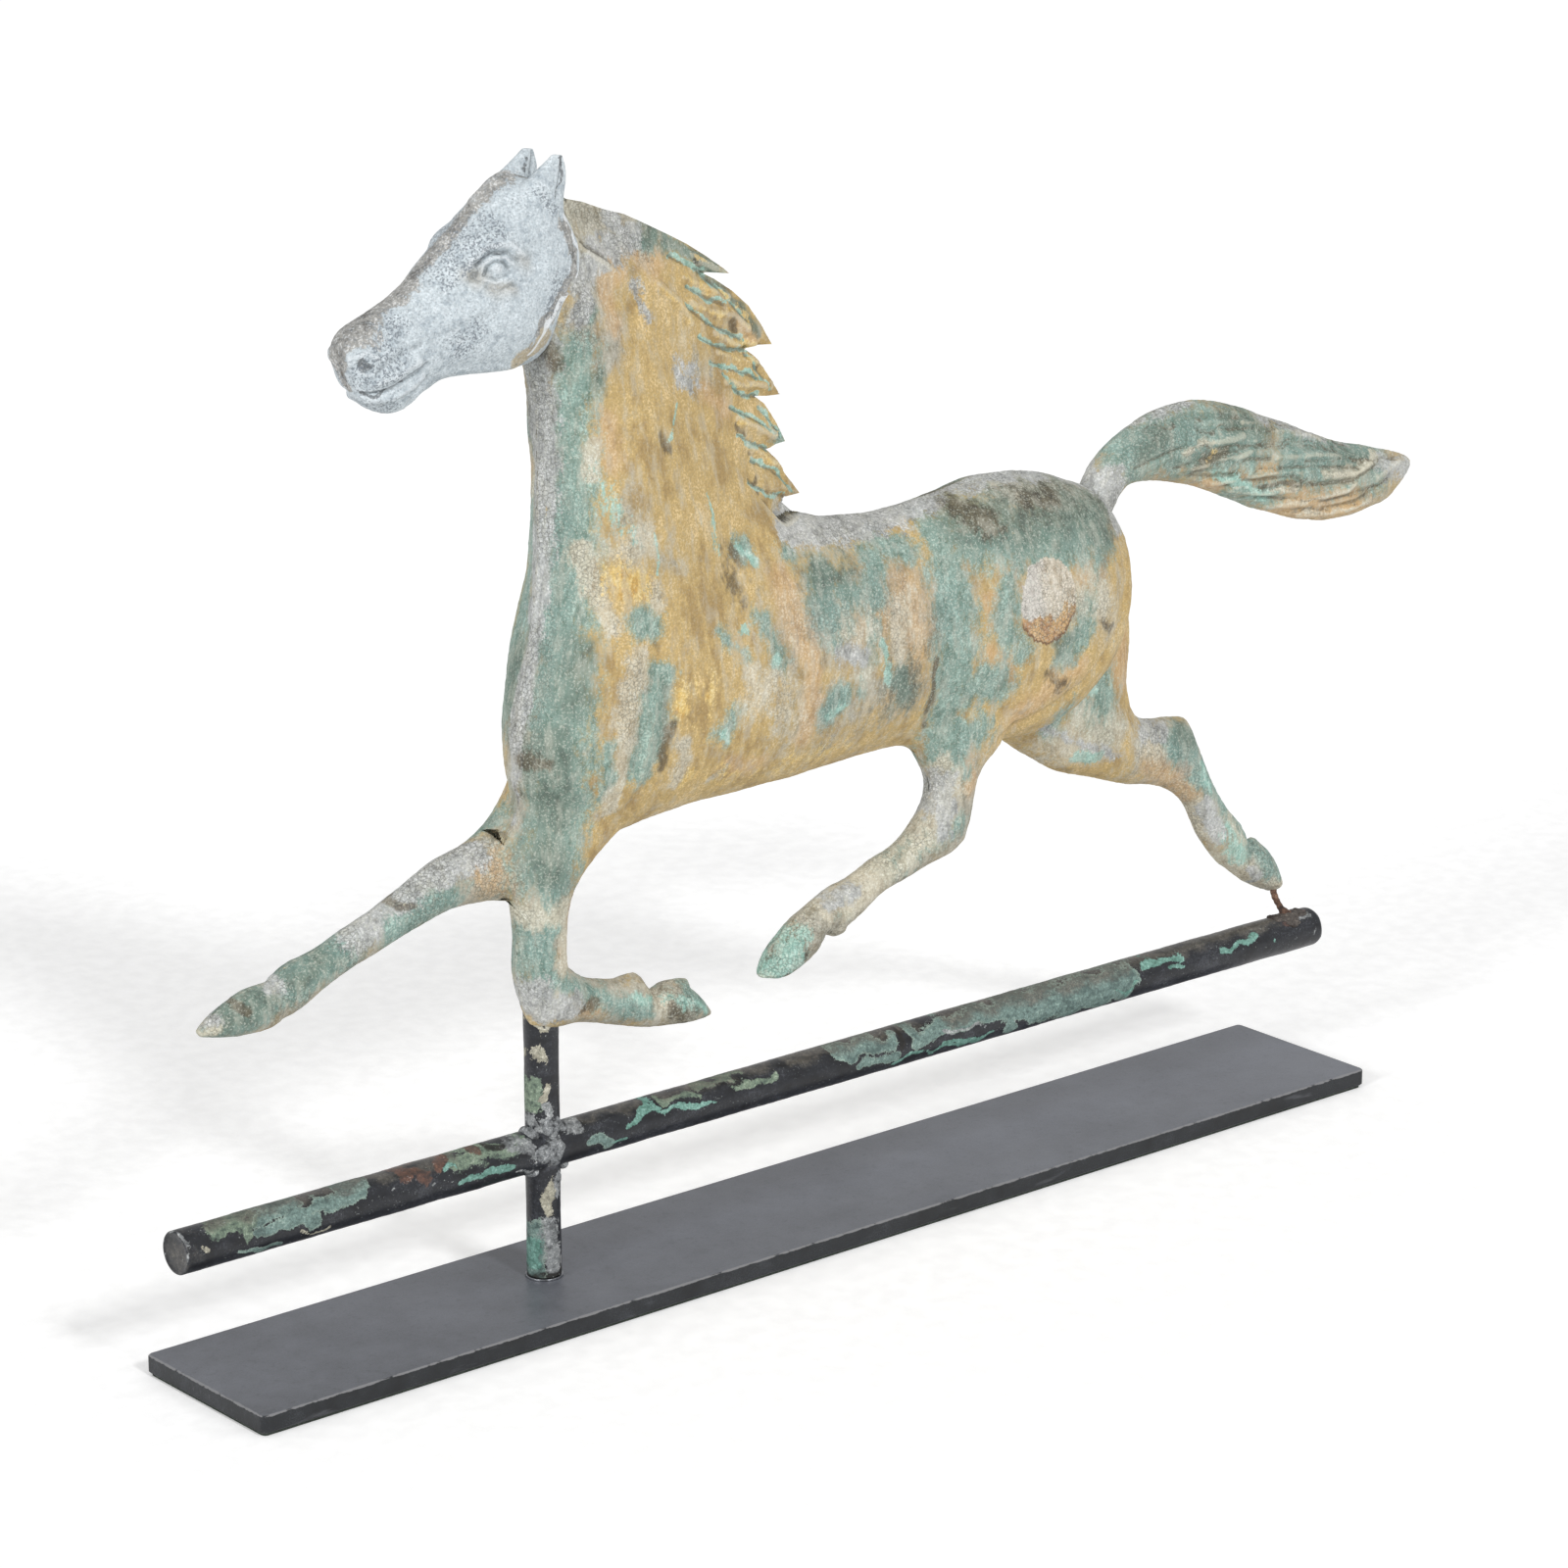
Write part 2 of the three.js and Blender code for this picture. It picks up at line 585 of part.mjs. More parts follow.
function makePipes() {
  const bore = rodSolid(uprightRadius + fitGap, 0, tubeTopZ + fitGap, roundSegments);
  const upright = ringSolid(uprightBore, uprightRadius, footZ, tubeTopZ, roundSegments);
  addPiece("upright_tube", upright, finishes.iron);

  const slipRadius = spindleRadius + runningGap;
  const snugRadius = uprightBore - fitGap;
  const bushTop = footZ + bushLength;
  const bush = ringSolid(slipRadius, snugRadius, footZ, bushTop, fineSegments);
  addPiece("lower_bush", bush, finishes.bronze);
  const cupFoot = tubeTopZ - cupLength;
  const cup = latheSolid(
    [
      [0, cupSeatZ],
      [spindleRadius / 2, cupSeatZ],
      [slipRadius, cupFoot],
      [snugRadius, cupFoot],
      [snugRadius, tubeTopZ],
      [0, tubeTopZ],
    ],
    fineSegments,
  );
  addPiece("pivot_cup", cup, finishes.bronze);

  const barFront = -crossbarFrontReach + frontCapThick + fitGap;
  const barRear = crossbarRearX - rearCapDome - fitGap;
  const bar = layAlongX(
    ringSolid(crossbarBore, crossbarRadius, barFront, barRear, roundSegments),
  );
  addPiece(
    "crossbar_tube",
    bar.subtract(bore).subtract(wireSolid(fitGap)),
    finishes.iron,
  );

  const tenon = crossbarBore - fitGap;
  const frontTenonEnd = barFront + capTenonLength;
  const frontCap = latheSolid(
    [
      [0, -crossbarFrontReach],
      [crossbarRadius, -crossbarFrontReach],
      [crossbarRadius, barFront - fitGap],
      [tenon, barFront - fitGap],
      [tenon, frontTenonEnd],
      [0, frontTenonEnd],
    ],
    roundSegments,
  );
  addPiece("front_end_cap", layAlongX(frontCap), finishes.iron);
  const rearTenonEnd = barRear - capTenonLength;
  const dome = new THREE.Path();
  dome.absellipse(0, barRear + fitGap, crossbarRadius, rearCapDome, 0, Math.PI / 2);
  const domeArc = dome.getPoints(4).map((p) => [p.x, p.y]);
  domeArc[domeArc.length - 1][0] = 0;
  const rearCap = latheSolid(
    [[0, rearTenonEnd], [tenon, rearTenonEnd], [tenon, barRear + fitGap], ...domeArc],
    roundSegments,
  );
  addPiece("rear_end_cap", layAlongX(rearCap), finishes.iron);

  const barGap = layAlongX(
    rodSolid(crossbarRadius + fitGap, -crossbarFrontReach, crossbarRearX, roundSegments),
  );
  const fillet = eggSolid(0, axisZ, [
    uprightRadius + solderReach,
    crossbarRadius + solderThick,
    crossbarRadius + solderReach,
  ]);
  addPiece("crossing_solder", fillet.subtract(barGap).subtract(bore), finishes.solder);

  addPiece("hoof_wire", wireSolid(0), finishes.rust);
  const lump = eggSolid(wireFootX + wireSolderShift, axisZ + crossbarRadius / 2, [
    wireSolderLength / 2,
    crossbarRadius,
    crossbarRadius / 2 + wireSolderRise,
  ]);
  const seat = lump.subtract(barGap).subtract(wireSolid(fitGap));
  addPiece("wire_solder", seat, finishes.rust);
}

// The sheet that stands in the neck's seam, before the neck and head are cut out of it.
function maneBlank() {
  const outline = new THREE.Shape();
  const at = (share) => [share[0] * square, share[1] * square];
  outline.moveTo(...at(maneTopShare));
  maneLockShares.forEach((lock) => {
    outline.quadraticCurveTo(...at(lock), ...at(lock.slice(2)));
    outline.lineTo(...at(lock.slice(4)));
  });
  outline.lineTo(...at(maneHeelShare));
  [...maneRootShares].reverse().forEach((share) => outline.lineTo(...at(share)));
  const sheet = new THREE.ExtrudeGeometry(outline, {
    depth: maneSheet,
    bevelEnabled: false,
    curveSegments: 5,
  });
  sheet.rotateX(Math.PI / 2);
  sheet.translate(0, maneSheet / 2, axisZ);
  return solidOf(sheet);
}

function makeHorse() {
  const trunk = makeForm(trunkSectionShares, {
    sides: 24,
    innerSides: 14,
    stepLength: trunkStep,
    wall: copperSheet,
  });
  const head = makeForm(headSectionShares, {
    sides: 20,
    innerSides: 12,
    stepLength: headStep,
    wall: zincWall,
    taper: headTaper,
  });
  const tail = makeForm(tailSectionShares, {
    sides: 14,
    innerSides: 8,
    stepLength: tailStep,
    wall: copperSheet,
  });
  const bore = rodSolid(uprightRadius + fitGap, 0, tubeTopZ + fitGap, roundSegments);
  const halves = [
    { suffix: "left", sign: -1 },
    { suffix: "right", sign: 1 },
  ];

  const body = trunk.shell.subtract(head.grown).subtract(bore);
  const tailShell = tail.shell.subtract(trunk.grown);
  halves.forEach(({ suffix, sign }) => {
    addPiece(`body_${suffix}_half`, halfOf(body, 0, sign), finishes.gilded);
    const earSide = sign * earSideShare * square;
    const earRows = sectionRows(earSectionShares, headStep, ovalTaper);
    const ear = skinSolid(earRows, earSide, 10).subtract(head.full.subtract(head.shell));
    const half = halfOf(head.shell.add(ear), 0, sign);
    addPiece(`head_${suffix}_half`, half, finishes.zinc);
    addPiece(`tail_${suffix}_half`, halfOf(tailShell, 0, sign), finishes.verdigris);
  });
  const mane = maneBlank().subtract(trunk.grown).subtract(head.grown);
  addPiece("mane_sheet", mane, finishes.gilded);

  // Each leg is cut away where the trunk and the leg before it already are.
  const sleeveRadius = uprightRadius + fitGap + copperSheet;
  const [sleeveFoot, sleeveTop] = sleeveShares.map((share) => axisZ + share * square);
  const sleeve = rodSolid(sleeveRadius, sleeveFoot, sleeveTop, roundSegments);
  const aroundSleeve = rodSolid(sleeveRadius + fitGap, sleeveFoot, sleeveTop, roundSegments);
  let taken = trunk.grown;
  Object.entries(legs).forEach(([name, { sideShare, sectionShares }]) => {
    const side = sideShare * square;
    const leg = makeForm(sectionShares, {
      side,
      sides: 12,
      innerSides: 8,
      stepLength: legStep,
      wall: copperSheet,
    });
    let shell = leg.shell;
    let grown = leg.grown;
    if (name === "near_foreleg") {
      shell = shell.add(sleeve);
      grown = grown.add(aroundSleeve);
    }
    if (name === "far_hindleg") {
      shell = shell.subtract(wireSolid(fitGap));
    }
    shell = shell.subtract(bore).subtract(taken);
    taken = taken.add(grown);
    const outward = Math.sign(sideShare);
    addPiece(`${name}_outer`, mainBody(halfOf(shell, side, outward)), finishes.verdigris);
    addPiece(`${name}_inner`, mainBody(halfOf(shell, side, -outward)), finishes.verdigris);
  });
}

makeStand();
makePipes();
makeHorse();

export default group;
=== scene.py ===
# Looks of the horse weathervane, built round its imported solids. Metres, +Z up.
# The horse faces -X and its near side is -Y. Drawn values are millimetres unless a note says more.
import math

import bmesh
import bpy
import numpy as np
from mathutils import Matrix, Vector
from mathutils.geometry import delaunay_2d_cdt


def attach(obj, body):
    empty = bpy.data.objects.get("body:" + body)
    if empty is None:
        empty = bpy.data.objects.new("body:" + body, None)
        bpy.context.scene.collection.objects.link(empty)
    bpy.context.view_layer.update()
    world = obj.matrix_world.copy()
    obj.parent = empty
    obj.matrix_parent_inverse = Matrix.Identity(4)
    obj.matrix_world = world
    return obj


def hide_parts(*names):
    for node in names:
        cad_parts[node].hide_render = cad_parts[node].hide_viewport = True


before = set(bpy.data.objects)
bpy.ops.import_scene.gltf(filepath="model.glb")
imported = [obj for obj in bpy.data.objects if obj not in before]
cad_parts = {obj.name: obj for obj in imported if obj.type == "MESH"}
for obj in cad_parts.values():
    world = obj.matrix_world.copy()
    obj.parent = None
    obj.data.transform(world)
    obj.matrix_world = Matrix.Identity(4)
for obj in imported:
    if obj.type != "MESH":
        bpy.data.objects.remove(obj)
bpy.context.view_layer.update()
mm = 0.001
square = 10.0  # one square of the horse's pattern
axisHeight = 81.0  # of the crossbar, where the pattern's v is zero
print("solids loaded:", len(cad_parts))


# Small helpers for making and shaping meshes.
def pick(obj):
    for other in bpy.context.selected_objects:
        other.select_set(False)
    obj.select_set(True)
    bpy.context.view_layer.objects.active = obj


def addMesh(name, points, faces):
    mesh = bpy.data.meshes.new(name)
    mesh.from_pydata([tuple(p) for p in np.asarray(points) * mm], [], faces)
    mesh.update()
    obj = bpy.data.objects.new(name, mesh)
    bpy.context.scene.collection.objects.link(obj)
    return obj


# One property of a mesh's vertices, edges, faces or corners, `width` numbers for each.
def readArray(items, label, width, kind=np.float32):
    flat = np.zeros(len(items) * width, kind)
    items.foreach_get(label, flat)
    return flat if width == 1 else flat.reshape(-1, width)


def readPoints(obj):
    return readArray(obj.data.vertices, "co", 3).astype(float) / mm


def writePoints(obj, points):
    obj.data.vertices.foreach_set("co", (points * mm).astype(np.float32).ravel())
    obj.data.update()


def readNormals(obj):
    return readArray(obj.data.vertices, "normal", 3).astype(float)


def readEdges(obj):
    return readArray(obj.data.edges, "vertices", 2, np.int32)


def faceCentres(form):
    return readArray(form.data.polygons, "center", 3).astype(float) / mm


# Keeps four numbers for each point of a mesh, for its material to read.
def keepLayer(obj, name, values):
    layer = obj.data.color_attributes.new(name, "FLOAT_COLOR", "POINT")
    layer.data.foreach_set("color", values.ravel())


# Rows on a smooth curve through the given rows of a table, `step` squares apart.
def rowsBetween(table, taper, step):
    full = np.array([list(row) + [1.0, taper][len(row) - 5 :] for row in table])
    middle = (full[:, 0:2] + full[:, 2:4]) / 2
    station = np.concatenate([[0], np.cumsum(np.hypot(*np.diff(middle, axis=0).T))])
    slope = np.zeros_like(full)
    slope[1:-1] = (full[2:] - full[:-2]) / (station[2:] - station[:-2])[:, None]
    slope[0] = 1.5 * (full[1] - full[0]) / (station[1] - station[0]) - 0.5 * slope[1]
    last = (full[-1] - full[-2]) / (station[-1] - station[-2])
    slope[-1] = 1.5 * last - 0.5 * slope[-2]
    count = max(2, int(station[-1] / step))
    at = np.linspace(0, station[-1], count + 1)
    k = np.clip(np.searchsorted(station, at, side="right") - 1, 0, len(station) - 2)
    span = (station[k + 1] - station[k])[:, None]
    t = (at - station[k])[:, None] / span
    value = full[k] * (2 * t**3 - 3 * t**2 + 1) + full[k + 1] * (3 * t**2 - 2 * t**3)
    return value + span * (slope[k] * (t**3 - 2 * t**2 + t) + slope[k + 1] * (t**3 - t**2))


# A closed skin round the rows of a table, centred `side` squares off the middle plane.
def loft(table, side=0.0, taper=0.5, sides=48, step=0.4):
    rows = rowsBetween(table, taper, step)
    angle = np.arange(sides) * 2 * math.pi / sides
    share = ((1 - np.cos(angle)) / 2)[None, :]
    skewed = share ** np.maximum(rows[:, 5:6], 0.2)
    bulge = np.maximum(4 * skewed * (1 - skewed), 0) ** rows[:, 6:7]
    x = (rows[:, 0:1] + (rows[:, 2:3] - rows[:, 0:1]) * share) * square
    z = axisHeight + (rows[:, 1:2] + (rows[:, 3:4] - rows[:, 1:2]) * share) * square
    half = np.maximum(rows[:, 4:5], 0.05) * square
    y = side * square + np.sign(np.round(np.sin(angle), 6))[None, :] * half * bulge
    points = np.stack([x, y, z], axis=2).reshape(-1, 3)
    faces = []
    for i in range(len(rows) - 1):
        for j in range(sides):
            a, b = i * sides + j, i * sides + (j + 1) % sides
            faces.append((a, b, b + sides, a + sides))
    faces.append(tuple(range(sides)))
    faces.append(tuple(range((len(rows) - 1) * sides, len(rows) * sides)))
    return points, faces


# Melts several closed skins into one evenly meshed form.
def fuse(name, skins, voxel):
    points, faces, start = [], [], 0
    for skinPoints, skinFaces in skins:
        points.append(skinPoints)
        faces += [tuple(index + start for index in face) for face in skinFaces]
        start += len(skinPoints)
    obj = addMesh(name, np.concatenate(points), faces)
    pick(obj)
    obj.data.remesh_voxel_size = voxel * mm
    bpy.ops.object.voxel_remesh()
    return obj


# Points evened out with their neighbours along the edges, more where the weight is higher.
def evened(points, edges, rounds, weight):
    points = points.copy()
    used = weight > 0
    edges = edges[used[edges[:, 0]] | used[edges[:, 1]]]
    reach = np.maximum(np.bincount(edges.ravel(), minlength=len(points)), 1)
    for _ in range(rounds):
        for axis in range(3):
            line = points[:, axis]
            total = np.bincount(edges[:, 0], line[edges[:, 1]], len(points))
            total += np.bincount(edges[:, 1], line[edges[:, 0]], len(points))
            line[used] += (weight * (total / reach - line))[used]
    return points


def relax(obj, rounds, weight):
    points = readPoints(obj)
    weight = np.broadcast_to(weight, len(points))
    writePoints(obj, evened(points, readEdges(obj), rounds, weight))


# Distance of each point from a drawn line, in its own two or three dimensions.
def distanceFrom(points, path):
    path = np.array(path, float).reshape(len(path), -1)
    flat = points[:, [0, 2]] if path.shape[1] == 2 else points
    best = np.full(len(points), np.inf)
    if len(path) == 1:
        return np.linalg.norm(flat - path[0], axis=1)
    for start, end in zip(path[:-1], path[1:]):
        run = end - start
        share = np.clip((flat - start) @ run / max(run @ run, 1e-9), 0, 1)
        best = np.minimum(best, np.linalg.norm(flat - start - share[:, None] * run, axis=1))
    return best


# Soft random field between about -1 and 1, with features of the given length.
def waves(points, length, seed, count=14):
    random = np.random.default_rng(seed)
    field = np.zeros(len(points))
    for _ in range(count):
        direction = random.normal(size=3)
        direction *= 2 * math.pi / (length * np.linalg.norm(direction)) * random.uniform(0.6, 1.5)
        field += np.sin(points @ direction + random.uniform(0, 2 * math.pi))
    return field / math.sqrt(count / 2) / 1.6


# Random relief of a given height, length and seed.
def ripple(points, relief, count=24):
    height, length, seed = relief
    return height * waves(points, length, seed, count)


# Strokes of one size along several paths.
def strokesOf(size, paths):
    return [(*size, path) for path in paths]


# Presses strokes into a form or raises them: (height, radius, path), the same on both sides.
def carve(obj, strokes, floor=None):
    points, normals = readPoints(obj), readNormals(obj)
    mirrored = points * [1, -1, 1]
    lift = np.zeros(len(points))
    for height, radius, path in strokes:
        solid = len(path[0]) == 3
        distance = distanceFrom(points, path)
        if solid:
            distance = np.minimum(distance, distanceFrom(mirrored, path))
        fall = np.clip(1 - (distance / radius) ** 2, 0, 1) ** 2
        if not solid:
            fall *= np.clip(np.abs(normals[:, 1]) * 2.2 - 0.2, 0, 1)
        lift += height * fall
    if floor:
        lift = np.maximum(lift, floor)
    writePoints(obj, points + normals * lift[:, None])


# Moves each point along its normal by a field in millimetres.
def swell(obj, field):
    writePoints(obj, readPoints(obj) + readNormals(obj) * field[:, None])


# Horse: the rows of each form are cuts across it (u, v to u, v, half width, skew, taper).
horse = {
    "voxel": 1.0,
    "trunk": [
        [39.1, 25.7, 39.2, 22.9, 1.0],
        [38.7, 27.2, 38.9, 20.4, 2.2],
        [37.6, 28.5, 37.8, 18.5, 3.1],
        [35.9, 29.4, 35.5, 16.7, 3.8],
        [33.0, 30.3, 32.5, 15.9, 4.1],
        [29.7, 30.6, 29.0, 16.1, 4.1],
        [26.2, 30.1, 25.5, 16.7, 3.8],
        [23.0, 29.8, 22.2, 17.0, 3.7],
        [20.0, 29.9, 19.0, 16.9, 3.8],
        [17.5, 30.4, 15.5, 16.7, 3.9, 1.05],
        [15.0, 31.6, 11.5, 16.6, 3.9, 1.2, 0.52],
        [13.8, 33.3, 7.8, 16.5, 3.9, 1.3, 0.54],
        [13.1, 35.1, 4.0, 16.0, 3.8, 1.4, 0.56],
        [12.5, 37.1, 0.5, 16.6, 3.8, 1.5, 0.55],
        [11.6, 39.3, -1.35, 19.3, 3.7, 1.55, 0.55],
        [10.3, 41.3, -1.15, 23.2, 3.5, 1.55, 0.57],
        [8.8, 43.0, -0.25, 27.0, 3.1, 1.35, 0.68],
        [7.0, 44.4, 0.15, 30.1, 2.7, 1.25, 0.74],
        [5.0, 45.7, 0.25, 33.1, 2.5, 1.1, 0.85],
        [3.2, 46.7, 0.3, 36.1, 2.3, 1.05, 0.85],
        [1.8, 47.5, 0.25, 38.4, 2.1, 1, 0.75],
        [0.6, 47.9, -0.1, 40.1, 1.8, 1, 0.6],
    ],
    "nearForeleg": [
        [-1.2, 18.6, 7.4, 18.2, 1.7],
        [-2.0, 15.6, 3.9, 15.8, 1.6],
        [-2.0, 14.4, 2.35, 14.6, 1.5],
        [-1.8, 13.2, 1.5, 13.4, 1.45],
        [-1.6, 11.4, 1.1, 11.4, 1.38],
        [-1.65, 9.7, 1.25, 9.8, 1.35],
        [-1.35, 8.2, 1.7, 9.3, 1.32],
        [-0.6, 6.7, 2.4, 8.75, 1.25],
        [1.8, 6.45, 3.3, 8.4, 1.1],
        [3.6, 6.0, 4.5, 8.1, 1.0],
        [4.9, 5.6, 5.9, 8.1, 1.05],
        [6.1, 5.25, 6.9, 7.0, 0.9],
        [7.4, 5.0, 8.3, 7.25, 1.1],
        [9.0, 4.85, 9.6, 6.4, 1.05],
        [10.4, 4.85, 10.7, 5.15, 0.5],
    ],
    "farForeleg": [
        [-0.2, 20.2, 1.2, 13.4, 1.5],
        [-1.4, 18.2, -0.9, 13.2, 1.5],
        [-3.2, 16.8, -2.6, 13.5, 1.3],
        [-5.5, 16.1, -5.0, 13.5, 1.15],
        [-7.9, 15.0, -7.6, 12.8, 1.0],
        [-10.4, 14.0, -10.0, 12.1, 0.9],
        [-12.8, 13.1, -12.3, 11.3, 0.95],
        [-14.6, 12.6, -13.9, 10.45, 1.0],
        [-15.8, 12.05, -15.1, 10.05, 0.9],
        [-17.0, 11.9, -16.1, 9.7, 1.1],
        [-18.6, 11.3, -18.1, 9.85, 0.95],
        [-19.9, 10.45, -19.75, 10.2, 0.3],
    ],
    "nearHindleg": [
        [23.2, 19.4, 33.0, 19.4, 1.6],
        [23.9, 16.9, 30.4, 16.9, 1.6],
        [24.9, 15.0, 28.3, 15.2, 1.4],
        [24.6, 13.6, 27.9, 13.8, 1.25],
        [23.7, 12.6, 27.6, 12.1, 1.15],
        [22.4, 11.8, 26.9, 11.15, 1.1],
        [20.8, 11.25, 24.8, 10.5, 1.0],
        [19.2, 10.65, 21.4, 9.55, 0.9],
        [18.1, 10.4, 18.9, 8.2, 1.0],
        [16.9, 9.9, 17.7, 8.3, 0.9],
        [15.35, 9.05, 16.8, 7.25, 1.1],
        [13.95, 7.9, 15.5, 6.6, 1.05],
        [13.3, 6.9, 14.3, 6.4, 0.7],
        [13.2, 6.7, 13.4, 6.55, 0.3],
    ],
    "farHindleg": [
        [40.0, 25.6, 31.0, 19.4, 1.6],
        [41.4, 22.6, 31.0, 17.8, 1.9],
        [41.95, 19.8, 31.4, 16.5, 1.8],
        [41.7, 17.3, 32.7, 15.1, 1.7],
        [42.1, 15.7, 34.6, 13.9, 1.55],
        [42.8, 14.6, 36.6, 12.8, 1.4],
        [44.1, 14.2, 39.5, 11.75, 1.25],
        [45.3, 14.1, 42.1, 10.9, 1.15],
        [46.6, 13.8, 44.0, 10.5, 1.1],
        [47.35, 12.4, 45.6, 9.8, 1.05],
        [48.55, 10.0, 46.9, 8.6, 1.0],
        [49.85, 8.1, 48.2, 6.4, 0.95],
        [51.2, 6.6, 49.4, 4.9, 1.0],
        [51.75, 5.6, 50.4, 4.15, 0.9],
        [52.8, 5.25, 51.4, 3.4, 1.1],
        [53.8, 4.1, 52.5, 2.75, 1.05],
        [54.5, 2.75, 53.7, 2.2, 0.7],
        [54.6, 2.5, 54.2, 2.15, 0.3],
    ],
    # Pointed fetlocks and sharp upper edges of the hooves.
    "spurs": [
        ([[4.6, 6.9, 6.2, 6.2, 0.8], [5.3, 7.9, 6.4, 7.0, 0.5], [5.75, 8.2, 6.0, 8.0, 0.15]], -0.3),
        ([[7.3, 5.4, 9.4, 5.6, 0.9], [7.9, 7.0, 9.3, 6.9, 0.6], [8.5, 7.25, 9.2, 7.1, 0.2]], -0.3),
        ([[16.8, 8.6, 18.9, 9.0, 0.8], [18.3, 7.8, 19.1, 8.4, 0.5], [18.9, 7.85, 19.15, 8.0, 0.15]],
         -1.4),
        ([[51.4, 4.6, 53.2, 4.0, 1.0], [51.8, 5.3, 53.0, 4.7, 0.8], [52.0, 5.6, 52.7, 5.3, 0.5],
          [52.15, 5.7, 52.45, 5.6, 0.2]], 1.4),
    ],
    "sides": {"nearForeleg": -0.3, "farForeleg": 1.2, "nearHindleg": -1.4, "farHindleg": 1.4},
    # The mane: a thin comb drawn past its outline, and the locks' swellings from root to tip.
    "comb": {
        "half": 2.0,
        "corners": [
            (10, 560), (30, 572), (60, 562), (100, 542), (132, 522), (162, 486), (166, 452),
            (172, 428), (180, 394), (150, 384), (118, 396), (80, 440), (40, 500),
        ],
    },
    "locks": [
        [
            [0.9, 48.8, 2.0, 42.0, 1.3],
            [2.0, 48.9, 4.4, 42.0, 1.5],
            [4.6, 48.1, 7.2, 42.2, 1.0],
            [7.6, 46.7, 9.4, 43.2, 0.6],
            [10.2, 45.2, 10.8, 43.6, 0.4],
            [12.9, 43.9, 12.8, 43.2, 0.3],
        ],
        [
            [6.0, 46.0, 5.6, 39.5, 1.6],
            [9.0, 44.4, 8.8, 38.6, 1.0],
            [11.5, 43.4, 11.3, 38.9, 0.6],
            [13.6, 41.8, 13.1, 39.2, 0.45],
            [15.6, 39.9, 15.3, 39.2, 0.3],
        ],
        [
            [8.6, 42.5, 8.0, 36.5, 1.5],
            [11.4, 40.6, 11.0, 36.0, 0.95],
            [13.5, 39.2, 13.3, 36.4, 0.55],
            [14.8, 38.2, 14.5, 36.7, 0.4],
            [16.1, 37.1, 15.9, 36.6, 0.3],
        ],
        [
            [10.5, 39.0, 9.6, 33.4, 1.5],
            [12.8, 37.4, 12.3, 33.0, 0.9],
            [14.1, 36.4, 14.1, 33.6, 0.5],
            [15.2, 35.6, 15.0, 34.0, 0.4],
            [16.5, 34.5, 16.3, 34.1, 0.3],
        ],
        [
            [12.0, 35.5, 12.0, 31.0, 1.4],
            [14.0, 34.2, 14.2, 31.0, 0.85],
            [15.3, 33.4, 15.6, 31.2, 0.5],
            [16.2, 32.6, 16.3, 31.4, 0.35],
            [17.3, 31.9, 17.2, 31.5, 0.25],
        ],
    ],
    # The mane's cut edge, from the withers round the five tips to the poll.
    "maneEdge": [
        (166, 388), (158.5, 394.5), (160, 397), (170.5, 397.5), (160, 410), (154, 418.5),
        (148.5, 423.5), (154.5, 425.5), (161, 426), (153.5, 438.5), (147, 447.5), (140.5, 452.5),
        (148, 451.5), (157.5, 451), (151.5, 459), (146.5, 466.5), (139.5, 474), (133.5, 478),
        (143, 478.5), (152.5, 477.5), (144, 490), (136.5, 499.5), (126, 508.5), (114.5, 516),
        (105.5, 520.5), (116, 519), (124.5, 517.5), (109.5, 528), (96.5, 536), (83, 543),
        (70, 549.5), (57.5, 555.5), (44.5, 559.5), (32, 564.5), (20.5, 567.5), (18, 568.2),
    ],
    "maneThin": (0.7, 0.42),  # half thickness at the edge, and its gain per mm inwards
    "maneLeast": 0.4,  # half thickness that the grooves leave
    # Where a joint is melted: centre, radius and rounds of smoothing.
    "melts": [
        ((10, -6, 246), 42, 40),
        ((-18, 12, 238), 26, 28),
        ((262, -16, 250), 42, 40),
        ((352, 22, 268), 62, 60),
        ((322, 14, 240), 26, 34),
        ((60, 0, 500), 60, 26),
        ((120, 0, 430), 55, 26),
        ((90, 0, 470), 40, 20),
    ],
    # Muscles, folds and dents: height, radius and path on the side view.
    "relief": [
        (-1.6, 7, [(47, 345), (40, 312), (33, 280)]),
        (1.0, 8, [(34, 350), (27, 312), (21, 275)]),
        (-1.4, 12, [(101, 405), (102, 350)]),
        (1.6, 30, [(72, 395), (70, 330)]),
        (-1.0, 8, [(57, 318), (54, 285)]),
        (-1.6, 16, [(238, 350), (240, 300), (243, 270)]),
        (1.5, 24, [(285, 335), (300, 300)]),
        (-2.4, 6, [(376, 344), (377, 325), (372, 303), (360, 286), (345, 273), (328, 262), (305, 253),
                   (290, 249)]),
        (1.8, 15, [(362, 322), (352, 298), (332, 280), (306, 268)]),
        (0.8, 22, [(314, 322)]),
        (-0.9, 4, [(-13, -3, 440), (-17, -5, 401), (-27, -6, 370), (-33, -7, 324), (-34, -8, 287)]),
        (-0.8, 5, [(-2, 420), (-6, 381), (-18, 343), (-26, 300)]),
        (1.0, 6, [(42, 318), (43, 300), (40, 280), (32, 262)]),
        (-1.2, 6, [(52, 322), (52, 296), (46, 275), (38, 262)]),
        (-1.2, 15, [(30, 480), (36, 430)]),
        (0.8, 16, [(60, 490), (75, 430)]),
        (-1.0, 7, [(402, 243), (420, 232)]),
        (0.7, 6, [(456, 212), (464, 200)]),
        (-0.6, 5, [(478, 170), (492, 148)]),
        (0.8, 7, [(-140, 203), (-150, 199)]),
        (-0.6, 4, [(-158, 205), (-151, 183)]),
        (-0.6, 3.5, [(68, 151), (71, 132)]),
        (0.8, 6, [(-2, 166), (10, 160)]),
        (-0.6, 4, [(185, 181), (180, 166)]),
        (0.7, 6, [(268, 198), (262, 206)]),
